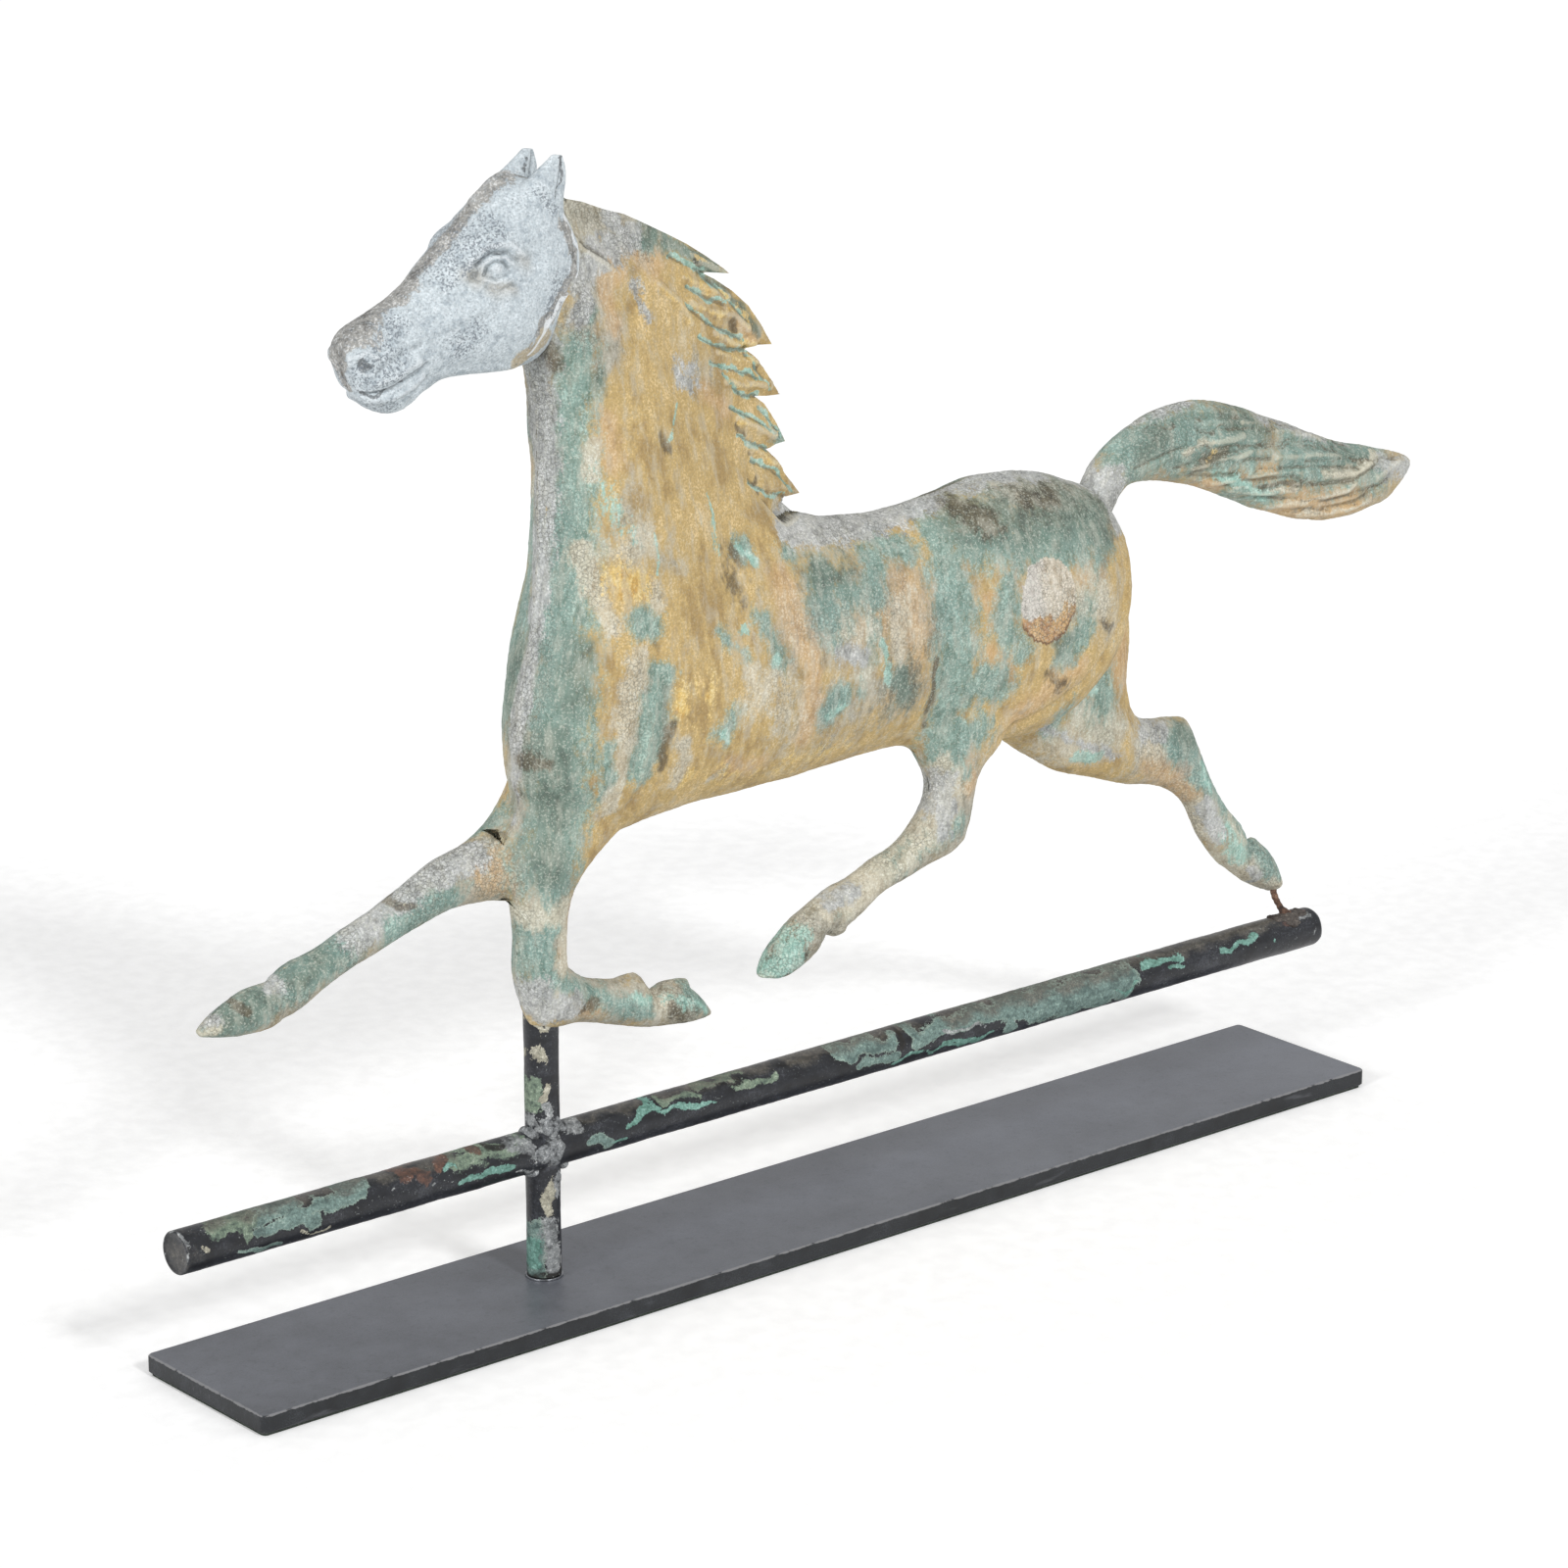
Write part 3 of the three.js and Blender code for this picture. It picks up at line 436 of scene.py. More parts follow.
        (-0.6, 4, [(504, 140), (514, 148)]),
    ],
    "hammering": (0.35, 34, 7),  # height, length and seed of the uneven sheet
    "crust": (0.10, 5, 8),
    "seam": (0.7, 2.2),  # height and half width of the bead along the middle plane
    "seamFrom": 236,  # it starts above the legs
    "legSeam": (0.5, 1.5),
    # Strands of the mane: raised tongues and the grooves between them.
    "hairGroove": (-1.1, 1.7),
    "hairLines": [
        [(82, 532.5), (93.5, 526), (105.5, 520.5)],
        [(92, 515.5), (104.5, 509), (118, 503)],
        [(105, 519.5), (115, 511.5), (124, 502), (133, 492)],
        [(89, 507), (104.5, 495.5), (124.5, 486), (134, 479)],
        [(97, 490), (107.5, 484.5), (116, 480.5), (133.5, 478)],
        [(104.5, 476.5), (119, 470), (133.5, 465.5), (145, 459.5)],
        [(113, 469.5), (119, 462), (128, 455), (140.5, 452.5)],
        [(133, 475), (142, 465.5), (149, 456.5)],
        [(118, 451), (135, 442.5), (148, 434.5)],
        [(122, 437), (133.5, 430), (148.5, 423.5)],
        [(142, 447), (150, 438), (156, 429)],
        [(133, 421), (148, 414), (157, 408), (164, 400)],
        [(128, 412), (142, 404), (160, 397)],
    ],
    "hairTongue": (1.5, 3.6),
    "hairFloor": -1.2,  # the deepest that the grooves go
    "hairRidges": [
        [(90, 521), (104, 514.5), (122, 506)],
        [(93, 507.5), (109, 501), (122, 497), (133, 489)],
        [(110, 490), (124, 482), (140, 480)],
        [(110, 480), (126, 474), (142, 470)],
        [(115, 465), (130, 460.5), (150, 457.5)],
        [(122, 445), (138, 437), (152, 431)],
        [(130, 430), (145, 421), (158, 413)],
        [(98, 530), (112, 523), (120, 519)],
        [(70, 520), (84, 510), (92, 498)],
    ],
}

# Which part of the side view belongs to which piece.
cuts = {
    "maneLocks": [
        (18, 552), (22, 546), (50, 527), (80, 503), (102, 475), (115, 446), (128, 411), (150, 387),
        (180, 388), (180, 470), (140, 560), (18, 600),
    ],
    "maneInner": [
        (18, 552), (22, 546), (50, 527), (80, 503), (102, 475), (115, 446), (128, 411), (150, 387),
    ],
    "farForeleg": [(-215, 165), (-60, 188), (-20, 208), (-19, 214.5), (-12, 214.5), (-12, 238),
                   (-21, 246), (-25, 252), (-60, 270), (-215, 250)],
    "nearForeleg": [(-20, 208), (-19, 214.5), (-12, 214.5), (-12, 238), (36, 238), (60, 190),
                    (120, 180), (120, 120), (-40, 120), (-30, 180)],
    "nearHindleg": [(120, 130), (120, 200), (215, 230), (222, 248.5), (292, 248.5), (300, 130)],
    "farHindleg": [
        (318, 238.5), (325, 247), (354, 252), (375, 268), (386, 287), (390, 310), (390, 335),
        (600, 335), (600, 80), (300, 80),
    ],
}


def insidePolygon(flat, corners):
    inside = np.zeros(len(flat), bool)
    for (x0, z0), (x1, z1) in zip(corners, corners[1:] + corners[:1]):
        if z0 == z1:
            continue
        crosses = (z0 > flat[:, 1]) != (z1 > flat[:, 1])
        at = x0 + (flat[:, 1] - z0) * (x1 - x0) / (z1 - z0)
        inside ^= crosses & (flat[:, 0] < at)
    return inside


# A flat comb of even thickness round a drawn outline, as a closed skin.
def combSkin(corners, half):
    count = len(corners)
    points = [(x, y, z) for y in (-half, half) for x, z in corners]
    faces = [tuple(range(count)), tuple(range(2 * count - 1, count - 1, -1))]
    for i in range(count):
        j = (i + 1) % count
        faces.append((i, i + count, j + count, j))
    return np.array(points, float), faces


def makeHorseForm():
    skins = [loft(horse["trunk"], sides=72)]
    for leg, side in horse["sides"].items():
        skins.append(loft(horse[leg], side=side))
    for spur, side in horse["spurs"]:
        skins.append(loft(spur, side=side, sides=24, step=0.1))
    for lock in horse["locks"]:
        skins.append(loft(lock, taper=0.6, step=0.2))
    skins.append(combSkin(horse["comb"]["corners"], horse["comb"]["half"]))
    form = fuse("horseForm", skins, horse["voxel"])
    relax(form, 3, 0.5)
    points = readPoints(form)
    for centre, radius, rounds in horse["melts"]:
        distance = np.linalg.norm(points - centre, axis=1)
        relax(form, rounds, np.clip(2 - 2 * distance / radius, 0, 1) * 0.9)
    carve(form, horse["relief"])
    points = readPoints(form)
    inMane = insidePolygon(points[:, [0, 2]], cuts["maneLocks"])
    least, gain = horse["maneThin"]
    depth = distanceFrom(points[inMane], horse["maneEdge"])
    trimmed = insidePolygon(points[inMane][:, [0, 2]], cuts["maneInner"] + horse["maneEdge"])
    limit = least + gain * depth * trimmed
    points[inMane, 1] = np.clip(points[inMane, 1], -limit, limit)
    writePoints(form, points)
    grooves = strokesOf(horse["hairGroove"], horse["hairLines"])
    carve(form, grooves + strokesOf(horse["hairTongue"], horse["hairRidges"]), horse["hairFloor"])
    points = readPoints(form)
    side = np.where(points[inMane, 1] < 0, -1, 1)
    points[inMane, 1] = side * np.maximum(np.abs(points[inMane, 1]), horse["maneLeast"])
    writePoints(form, points)
    field = ripple(points, horse["hammering"], 14) + ripple(points, horse["crust"])
    bead, half = horse["seam"]
    body = points[:, 2] > horse["seamFrom"]
    for name in ("maneLocks", "farForeleg", "farHindleg"):
        body &= ~insidePolygon(points[:, [0, 2]], cuts[name])
    field += bead * np.exp(-((points[:, 1] / half) ** 2)) * body
    bead, half = horse["legSeam"]
    for leg, side in horse["sides"].items():
        onLeg = insidePolygon(points[:, [0, 2]], cuts[leg])
        field += bead * np.exp(-(((points[:, 1] - side * square) / half) ** 2)) * onLeg
    swell(form, field)
    return form


# Tail: one form, its hair pressed in long waves.
tail = {
    "voxel": 1.0,
    "end": 625.8,
    "rows": [
        [37.0, 28.3, 38.6, 26.8, 1.0],
        [37.9, 29.9, 39.6, 28.1, 1.05],
        [39.1, 30.9, 40.4, 28.5, 1.1],
        [42.4, 32.25, 42.7, 28.4, 1.3],
        [46.6, 32.2, 46.1, 27.4, 1.45],
        [51.4, 30.5, 50.3, 25.6, 1.4],
        [56.5, 28.5, 55.7, 24.1, 1.2],
        [60.7, 27.35, 60.2, 24.4, 0.85],
        [61.9, 26.95, 61.6, 25.1, 0.6],
        [62.6, 26.55, 62.4, 25.95, 0.3],
    ],
    "hammering": (0.3, 26, 11),
    "crust": (0.1, 5, 12),
    "seam": (0.5, 2.0),
    "groove": (-1.4, 2.6),
    "ridge": (1.9, 4.0),
    "hairFloor": -1.4,
    "ridges": [
        [(436, 382), (460, 383), (478, 384)],
        [(443, 372), (476, 371.5), (488, 378)],
        [(544, 351), (573, 348), (588, 352)],
        [(456, 358.5), (479, 361), (505, 360.5)],
        [(476, 354), (499, 348.5), (524, 348.5)],
        [(505, 339), (531, 338), (564, 340), (571, 343)],
        [(532, 330.5), (564, 327), (586, 330)],
        [(505, 368), (535, 364), (565, 358)],
        [(480, 390), (515, 381), (546, 371)],
        [(590, 343), (606, 347), (612, 348)],
    ],
    "hairLines": [
        [(400, 377), (430, 384), (470, 380), (520, 372), (560, 364)],
        [(430, 372), (460, 376), (500, 377), (540, 371), (580, 352)],
        [(445, 392), (480, 388), (530, 380), (570, 362)],
        [(440, 366), (465, 362), (500, 362), (535, 358), (575, 351)],
        [(462, 364), (490, 357), (520, 355), (528, 350)],
        [(470, 356), (500, 350), (540, 347), (570, 345), (600, 352)],
        [(495, 346), (520, 341), (550, 336), (590, 337)],
        [(520, 334), (545, 331), (575, 331), (600, 340)],
        [(455, 372), (475, 371), (500, 368)],
        [(410, 396), (440, 400), (480, 394)],
        [(530, 362), (560, 358), (590, 352), (612, 351)],
    ],
}


def makeTailForm():
    form = fuse("tailForm", [loft(tail["rows"], sides=64)], tail["voxel"])
    relax(form, 3, 0.5)
    grooves = strokesOf(tail["groove"], tail["hairLines"])
    carve(form, grooves + strokesOf(tail["ridge"], tail["ridges"]), tail["hairFloor"])
    points = readPoints(form)
    bead, half = tail["seam"]
    seam = bead * np.exp(-((points[:, 1] / half) ** 2))
    swell(form, ripple(points, tail["hammering"], 14) + ripple(points, tail["crust"]) + seam)
    points = readPoints(form)
    points[:, 0] = np.minimum(points[:, 0], tail["end"])
    writePoints(form, points)
    return form


# Head: cast, with more detail than the pressed sheet.
head = {
    "voxel": 0.62,
    "rows": [
        [-11.55, 43.2, -11.4, 42.1, 0.7],
        [-11.1, 43.85, -10.9, 40.9, 1.2],
        [-10.1, 44.35, -9.75, 39.85, 1.45],
        [-8.7, 44.95, -8.3, 39.6, 1.5],
        [-7.35, 45.75, -7.0, 40.3, 1.55],
        [-6.1, 46.8, -5.6, 40.85, 1.8],
        [-4.7, 47.9, -3.6, 40.8, 2.1],
        [-3.4, 49.0, -1.8, 40.75, 2.35],
        [-2.0, 50.0, -0.1, 41.1, 2.35],
        [-0.7, 50.1, 1.1, 42.5, 2.15],
        [0.5, 49.5, 2.1, 44.3, 1.75],
        [1.25, 48.5, 2.4, 46.2, 0.9],
    ],
    "ear": [
        [-2.3, 47.0, 1.1, 47.2, 0.75],
        [-2.0, 48.6, 1.05, 48.0, 0.8],
        [-1.5, 49.7, 1.1, 49.0, 0.7],
        [-0.75, 50.2, 1.25, 49.9, 0.52],
        [0.05, 50.75, 1.25, 50.5, 0.34],
        [0.5, 51.12, 1.1, 51.05, 0.16],
    ],
    "earSide": 1.15,
    "earFoot": 564,
    "taper": 0.43,
    "hammering": (0.16, 14, 21),
    "crust": (0.05, 3, 22),
    "relief": [
        (2.4, 7.5, [(-50, -12, 555), (-42, -15, 556), (-34, -17, 556), (-27, -16, 555)]),  # brows
        (3.2, 7, [(-33, 0, 573), (-27, 0, 579), (-20, 0, 583), (-14, 0, 584)]),  # forelock
        (1.4, 26, [(-26, 514)]),  # cheek
        (0.9, 6, [(-78, 514), (-56, 523), (-42, 527)]),
        (-2.2, 11, [(-15.5, 545)]),
        (-1.6, 7.5, [(-43, 541), (-35, 541.5), (-29, 543)]),  # socket, then the eyeball
        (3.4, 5.8, [(-36, 542.8)]),
        (1.5, 1.8, [(-44.5, 539.5), (-42.5, 545), (-37.5, 548.6), (-31.5, 548), (-27, 544.2)]),
        (-1.4, 1.2, [(-41.8, 541), (-40.4, 544.4), (-36.8, 546.4), (-32.4, 545.8), (-29.6, 543)]),
        (1.7, 3.0, [(-51, 541), (-47, 548), (-38.5, 553.2), (-28, 553.4), (-20.5, 548)]),
        (-1.3, 1.5, [(-46, 545.5), (-38.6, 550.6), (-30, 550.4), (-24, 546)]),
        (1.0, 1.5, [(-42.5, 538.6), (-37, 536.6), (-31, 538.2)]),
        (-1.2, 2.6, [(-42, 534.8), (-35, 532.6), (-28, 534.6)]),
        (-2.4, 4.2, [(-49, 540.5), (-46, 540)]),
        (-2.0, 3.2, [(-109.5, 504.5), (-106.5, 502.5)]),  # nostril
        (1.1, 2.4, [(-115, 503), (-113.5, 508.5), (-107, 510.5), (-102, 507)]),
        (-1.2, 3.4, [(-100.5, 502), (-90, 507), (-78, 511)]),
        (1.6, 3.6, [(-101, 495.5), (-90, 498), (-79, 503)]),  # upper lip
        (-2.3, 1.8, [(-112, 490), (-105, 489.6), (-95, 491), (-85, 495.4), (-77.5, 498.5),
                     (-73.5, 501)]),
        (1.5, 3.2, [(-104, 486), (-92, 486.5), (-82, 491), (-76, 495)]),  # lower lip
        (-1.4, 3.4, [(-80, 482), (-76, 488), (-72, 493)]),
        (0.9, 4, [(-60, 493.5), (-40, 492), (-18, 492)]),
        (-1.2, 1.6, [(9.5, 590), (6, 582), (3, 574)]),  # the ears' creases
        (-0.9, 1.0, [(4.4, 565), (9.3, 546), (6.7, 531.6), (-4, 520), (-12, 510), (-16, 500)]),
        (0.8, 1.4, [(7, 562), (17, 547), (18.5, 540), (13, 529), (-0.7, 518), (-6, 511)]),
    ],
}


def makeHeadForm():
    skins = [loft(head["rows"], taper=head["taper"], sides=64, step=0.25)]
    for sign in (-1, 1):
        skins.append(loft(head["ear"], side=sign * head["earSide"], sides=28, step=0.12))
    form = fuse("headForm", skins, head["voxel"])
    relax(form, 4, 0.5)
    points = readPoints(form)
    # the ears melt into the head at their feet
    base = np.abs(points[:, 2] - head["earFoot"]) + 0.6 * np.abs(points[:, 0])
    relax(form, 14, np.clip(1.4 - base / 14, 0, 0.8))
    carve(form, head["relief"])
    points = readPoints(form)
    swell(form, ripple(points, head["hammering"], 14) + ripple(points, head["crust"]))
    return form


# Closes a cut piece: a wall from its open border to its middle plane, and a flat net there. The
# walls climb a little, so that they stay inside the horse's underside.
def closeBorder(sheet, middle, outward, climb=3.5, start=3, length=6):
    border = [edge for edge in sheet.edges if edge.is_boundary]
    corners = list({vert for edge in border for vert in edge.verts})
    number = {vert: index for index, vert in enumerate(corners)}
    feet = []
    for vert in corners:
        away = abs(vert.co.y / mm - middle)
        higher = climb * min(max((away - start) / length, 0), 1)
        feet.append(sheet.verts.new((vert.co.x, middle * mm, vert.co.z + higher * mm)))
    lines = [tuple(number[vert] for vert in edge.verts) for edge in border]
    for edge in border:
        loop = edge.link_loops[0]
        first, second = loop.link_loop_next.vert, loop.vert
        sheet.faces.new((first, second, feet[number[second]], feet[number[first]]))
    net = delaunay_2d_cdt([foot.co.xz for foot in feet], lines, [], 1, 1e-7)
    ends = []
    for index, spot in enumerate(net[0]):
        known = net[3][index]
        ends.append(feet[known[0]] if known else sheet.verts.new((spot.x, middle * mm, spot.y)))
    for face in net[2]:
        verts = [ends[index] for index in face]
        if len(set(verts)) == 3 and not sheet.faces.get(verts):
            sheet.faces.new(verts if outward < 0 else verts[::-1])
    left = [edge for edge in sheet.edges if edge.is_boundary]
    bmesh.ops.holes_fill(sheet, edges=left, sides=0)


# Draws the open border of a trimmed piece onto its outline, corners first.
def drawToEdge(sheet, edge, reach=2.0):
    border = [vert for vert in sheet.verts if vert.is_boundary]
    spots = np.array([vert.co.xz for vert in border]) / mm
    corners = np.array(edge, float)
    best, place = np.full(len(spots), np.inf), spots.copy()
    for start, end in zip(corners[:-1], corners[1:]):
        run = end - start
        share = np.clip((spots - start) @ run / (run @ run), 0, 1)
        foot = start + share[:, None] * run
        distance = np.linalg.norm(spots - foot, axis=1)
        nearer = distance < best
        best[nearer], place[nearer] = distance[nearer], foot[nearer]
    close = best < reach
    for corner in corners[1:-1]:
        distance = np.where(close, np.linalg.norm(spots - corner, axis=1), np.inf)
        if distance.min() < reach:
            place[np.argmin(distance)] = corner
    for vert, spot, use in zip(border, place, close):
        if use:
            vert.co.x, vert.co.z = spot * mm


# Copies some faces of a form into a piece of its own, closed towards the plane that parts it.
def cutOut(form, name, keep, middle, outward, edge=None):
    mesh = form.data
    starts = readArray(mesh.polygons, "loop_start", 1, np.int32)
    quads = readArray(mesh.loops, "vertex_index", 1, np.int32)[starts[keep][:, None] + np.arange(4)]
    used, quads = np.unique(quads, return_inverse=True)
    points, normals = readPoints(form)[used], readNormals(form)[used]
    piece = addMesh(name, points, quads.reshape(-1, 4).tolist())
    for layer in mesh.color_attributes:
        keepLayer(piece, layer.name, readArray(layer.data, "color", 4)[used])
    sheet = bmesh.new()
    sheet.from_mesh(piece.data)
    if edge:
        drawToEdge(sheet, edge)
    closeBorder(sheet, middle, outward)
    sheet.to_mesh(piece.data)
    sheet.free()
    piece.data.shade_smooth()
    extra = len(piece.data.vertices) - len(normals)
    normals = normals.tolist() + [(0, outward, 0)] * extra
    piece.data.normals_split_custom_set_from_vertices(normals)
    return piece


# Patina: strokes on the side view for each coat, as (radius, strength, path).
patina = {
    "weathered": [
        (16, 1.0, [(20, 562), (44, 553), (64, 545)]),
        (13, 1.0, [(22, 546), (24, 524), (14, 506)]),
        (9, 0.9, [(36, 505), (30, 490)]),
        (30, 0.72, [(140, 335), (190, 338), (235, 330)]),
        (24, 0.68, [(150, 292), (215, 296)]),
        (18, 1.0, [(300, 384), (340, 380), (368, 364)]),
        (16, 1.0, [(5, -4, 500), (3, 0, 470), (3, 0, 422), (2, 0, 372), (-8, 0, 327), (-18, 4, 262)]),
        (18, 0.6, [(205, 330), (208, 300), (212, 280)]),
        (14, 0.58, [(175, 285), (150, 300)]),
        (14, 0.6, [(335, 350), (350, 330), (352, 305)]),
        (14, 0.6, [(285, 352), (284, 325)]),
        (12, 0.55, [(36, 420), (34, 395), (60, 385)]),
        (12, 0.55, [(100, 470), (92, 480)]),
        (16, 0.55, [(350, 235), (400, 225)]),
        (40, 0.66, [(395, 385), (450, 385), (520, 365), (590, 350)]),
        (24, 0.95, [(-34, 234), (-90, 218), (-140, 202), (-190, 188)]),
        (20, 0.95, [(-4, 208), (-2, 175), (40, 155), (95, 140)]),
        (24, 0.95, [(262, 228), (262, 205), (210, 190), (140, 155)]),
        (22, 0.95, [(436, 212), (470, 190), (505, 145), (540, 105)]),
    ],
    "teal": [
        (5, 0.85, [(64, 542), (72, 541)]),
        (4, 0.8, [(84, 538), (103, 526), (118, 519)]),
        (4, 0.8, [(150, 432), (158, 427)]),
        (11, 1.0, [(13, -19, 494), (10, -17, 450), (11, -16, 417), (8, -15, 398)]),
        (16, 1.0, [(5, -17, 400), (3, -16, 372), (0, -20, 330), (-1, -20, 300), (-1, -18, 262),
                   (-5, -12, 235)]),
        (9, 1.0, [(-3, -20, 222), (-7, -14, 205)]),
        (5, 0.9, [(20, 512)]),
        (8, 0.95, [(37, 360), (44, 357)]),
        (9, 1.0, [(49, 330), (45, 305), (39, 282)]),
        (6, 0.8, [(18, 296), (20, 272)]),
        (7, 0.95, [(112, 382)]),
        (5, 0.9, [(146, 374)]),
        (8, 0.9, [(160, 290), (169, 297)]),
        (10, 1.0, [(162, 360), (160, 342), (166, 334)]),
        (9, 0.85, [(176, 350), (192, 346), (198, 362)]),
        (5, 1.0, [(143, 375)]),
        (6, 0.7, [(114, 349), (122, 338), (128, 322)]),
        (12, 1.0, [(247, 368), (247, 330), (248, 290), (251, 262), (254, 248)]),
        (12, 0.95, [(262, 286), (276, 283)]),
        (10, 0.95, [(254, 262), (270, 258)]),
        (8, 0.85, [(207, 368), (225, 362)]),
        (6, 0.85, [(208, 300), (214, 290)]),
        (6, 0.8, [(182, 300), (190, 330)]),
        (14, 0.9, [(262, 362), (292, 358), (320, 354), (350, 352)]),
        (10, 0.7, [(376, 236), (396, 228)]),
        (6, 0.9, [(315, 350), (320, 344)]),
        (9, 0.8, [(281, 338), (278, 316), (290, 300)]),
        (8, 0.9, [(337, 320), (334, 304), (322, 293)]),
        (6, 0.7, [(352, 345), (346, 330)]),
        (12, 0.85, [(372, 246), (392, 232), (384, 258)]),
        (9, 0.8, [(352, 236), (340, 252)]),
        (10, 1.0, [(450, 209), (463, 206)]),
        (12, 1.0, [(478, 190), (500, 163), (508, 150), (506, 140)]),
        (7.5, 1.0, [(521, 134), (528, 128), (535, 117)]),
        (7, 0.8, [(147, 158), (139, 148)]),
        (9, 1.0, [(-168, 195), (-180, 191), (-190, 189)]),
        (8, 0.9, [(252, 250), (258, 240)]),
        (7, 0.75, [(262, 208), (240, 200), (214, 190)]),
        (5, 0.8, [(182, 172)]),
        (9, 1.0, [(-8, 234), (-6, 220)]),
        (7, 1.0, [(-11, 212), (-11, 190), (-8, 174)]),
        (6, 0.9, [(4, 172), (25, 160), (46, 150), (60, 146)]),
        (6, 0.9, [(90, 146), (98, 138)]),
        (9, 1.0, [(-56, 225), (-70, 224), (-88, 218)]),
        (10, 1.0, [(-116, 212), (-132, 207), (-148, 201)]),
        (7, 0.7, [(90, 292), (98, 300)]),
        (5, 0.62, [(104, 330), (90, 344)]),
        (18, 0.95, [(400, 385), (440, 388), (480, 378)]),
        (16, 0.95, [(520, 366), (560, 358), (590, 352)]),
        (10, 0.8, [(505, 346), (480, 352)]),
    ],
    "green": [
        (5, 0.9, [(64, 548), (85, 538.5), (103, 528), (113, 522)]),
        (3, 0.9, [(103, 520.5), (116, 512), (128, 503), (136, 494), (142, 485)]),
        (9, 0.9, [(-6, 300), (-2, 260)]),
        (6, 0.95, [(22, 480)]),
        (5, 1.0, [(-11, 290)]),
        (11, 0.85, [(158, 362), (176, 360)]),
        (14, 1.0, [(266, 374), (284, 372), (300, 366)]),
        (13, 1.0, [(318, 370), (342, 366), (360, 356)]),
        (14, 0.75, [(213, 300), (213, 285)]),
        (9, 0.85, [(-8, 246), (-6, 232)]),
        (4, 0.9, [(319, 352)]),
        (7, 0.9, [(372, 362), (362, 368)]),
        (6, 0.8, [(326, 302), (318, 298)]),
        (7, 0.8, [(-128, 209), (-146, 202)]),
        (8, 0.9, [(-166, 196), (-188, 190)]),
        (7, 0.9, [(456, 216), (464, 210)]),
        (5, 0.9, [(80, 143), (88, 138)]),
        (7, 0.8, [(404, 384), (420, 392)]),
        (9, 0.8, [(470, 394), (500, 384)]),
        (9, 0.7, [(560, 362), (585, 352)]),
        (5, 0.8, [(148, 166), (140, 156)]),
        (8, 0.7, [(8, 350), (2, 320)]),
    ],
    "grey": [
        (4, 0.9, [(46, 557), (51, 549), (51, 542)]),
        (5, 0.6, [(80, 482), (90, 473), (96, 465)]),
        (3.5, 0.62, [(55, 523), (58, 513), (62, 503)]),
        (6, 0.85, [(403, 403), (421, 408), (443, 408)]),
        (11, 1.0, [(5, -4, 500), (3, 0, 470), (3, 0, 422)]),
        (8.5, 1.0, [(3, 0, 422), (2, 0, 372)]),
        (7, 1.0, [(0, 0, 376), (-8, 0, 327), (-14, 2, 289), (-18, 4, 262)]),
        (8, 1.0, [(150, 384), (175, 381), (205, 379), (235, 381), (262, 388)]),
        (7, 1.0, [(262, 388), (300, 392), (340, 388), (372, 378)]),
        (8, 0.95, [(372, 376), (384, 368), (380, 352)]),
        (5, 0.9, [(392, 368), (384, 376)]),
        (8, 0.9, [(14, 530), (30, 540), (60, 545)]),
        (7, 0.75, [(14, 512), (22, 526)]),
        (6, 0.7, [(80, 474), (90, 466)]),
        (6, 0.8, [(162, 390), (150, 384)]),
        (8, 0.95, [(-38, 245), (-52, 241), (-76, 235), (-94, 228)]),
        (8, 0.95, [(-98, 221), (-108, 216)]),
        (4, 0.8, [(-154, 201), (-160, 198)]),
        (9, 0.9, [(-12, 168), (-2, 160), (8, 158)]),
        (8, 0.8, [(250, 232), (252, 218), (250, 206)]),
        (4.5, 0.95, [(476, 170), (482, 160), (489, 147)]),
        (4, 0.8, [(514, 122), (519, 117)]),
        (5, 0.8, [(190, 184), (176, 178)]),
        (4, 0.8, [(-193, 192), (-199, 189)]),
        (10, 0.8, [(600, 348), (618, 345)]),
        (7, 0.8, [(500, 394), (540, 378), (570, 370)]),
        (6, 0.8, [(426, 222), (440, 218)]),
        (5, 0.62, [(330, 245), (360, 232), (400, 212)]),
        (7, 0.8, [(170, 320), (180, 316)]),
    ],
    "cream": [
        (3, 1.0, [(18, 452), (18, 432)]),
        (4, 1.0, [(12, 396), (16, 378), (21, 360)]),
        (8, 0.95, [(34, 338), (30, 318), (27, 300)]),
        (4.5, 1.0, [(29, 300), (26, 272), (24, 262)]),
        (5, 0.8, [(66, 292), (64, 270)]),
        (3, 0.8, [(88, 266), (96, 268)]),
        (9, 0.75, [(30, 396), (44, 400)]),
        (6, 0.8, [(44, 376), (50, 366)]),
        (16, 0.62, [(120, 312), (132, 296)]),
        (12, 0.6, [(185, 330), (190, 310)]),
        (9, 0.62, [(345, 330), (352, 312)]),
        (7, 0.7, [(330, 326), (328, 316)]),
        (9, 0.85, [(250, 240), (256, 224)]),
        (8, 0.8, [(252, 212), (240, 202), (222, 192)]),
        (9, 0.8, [(205, 188), (190, 178), (176, 176)]),
        (7, 0.9, [(-14, 212), (-6, 208), (4, 212)]),
        (6, 0.8, [(4, 200), (4, 180)]),
        (4, 0.9, [(-194, 187), (-199, 189)]),
        (5, 0.8, [(60, 152), (72, 146)]),
        (7, 0.8, [(428, 216), (436, 206)]),
        (6, 0.7, [(496, 156), (504, 140)]),
        (6.5, 0.95, [(494, 131), (505, 121), (516, 113)]),
        (5, 1.0, [(526, 110), (536, 105), (545, 106)]),
        (5, 0.85, [(470, 168), (480, 150)]),
        (9, 0.9, [(212, 190), (198, 180), (185, 175)]),
        (12, 0.8, [(372, 236), (356, 226), (400, 226)]),
        (8, 0.7, [(170, 330), (186, 306)]),
        (8, 0.65, [(214, 340), (206, 310)]),
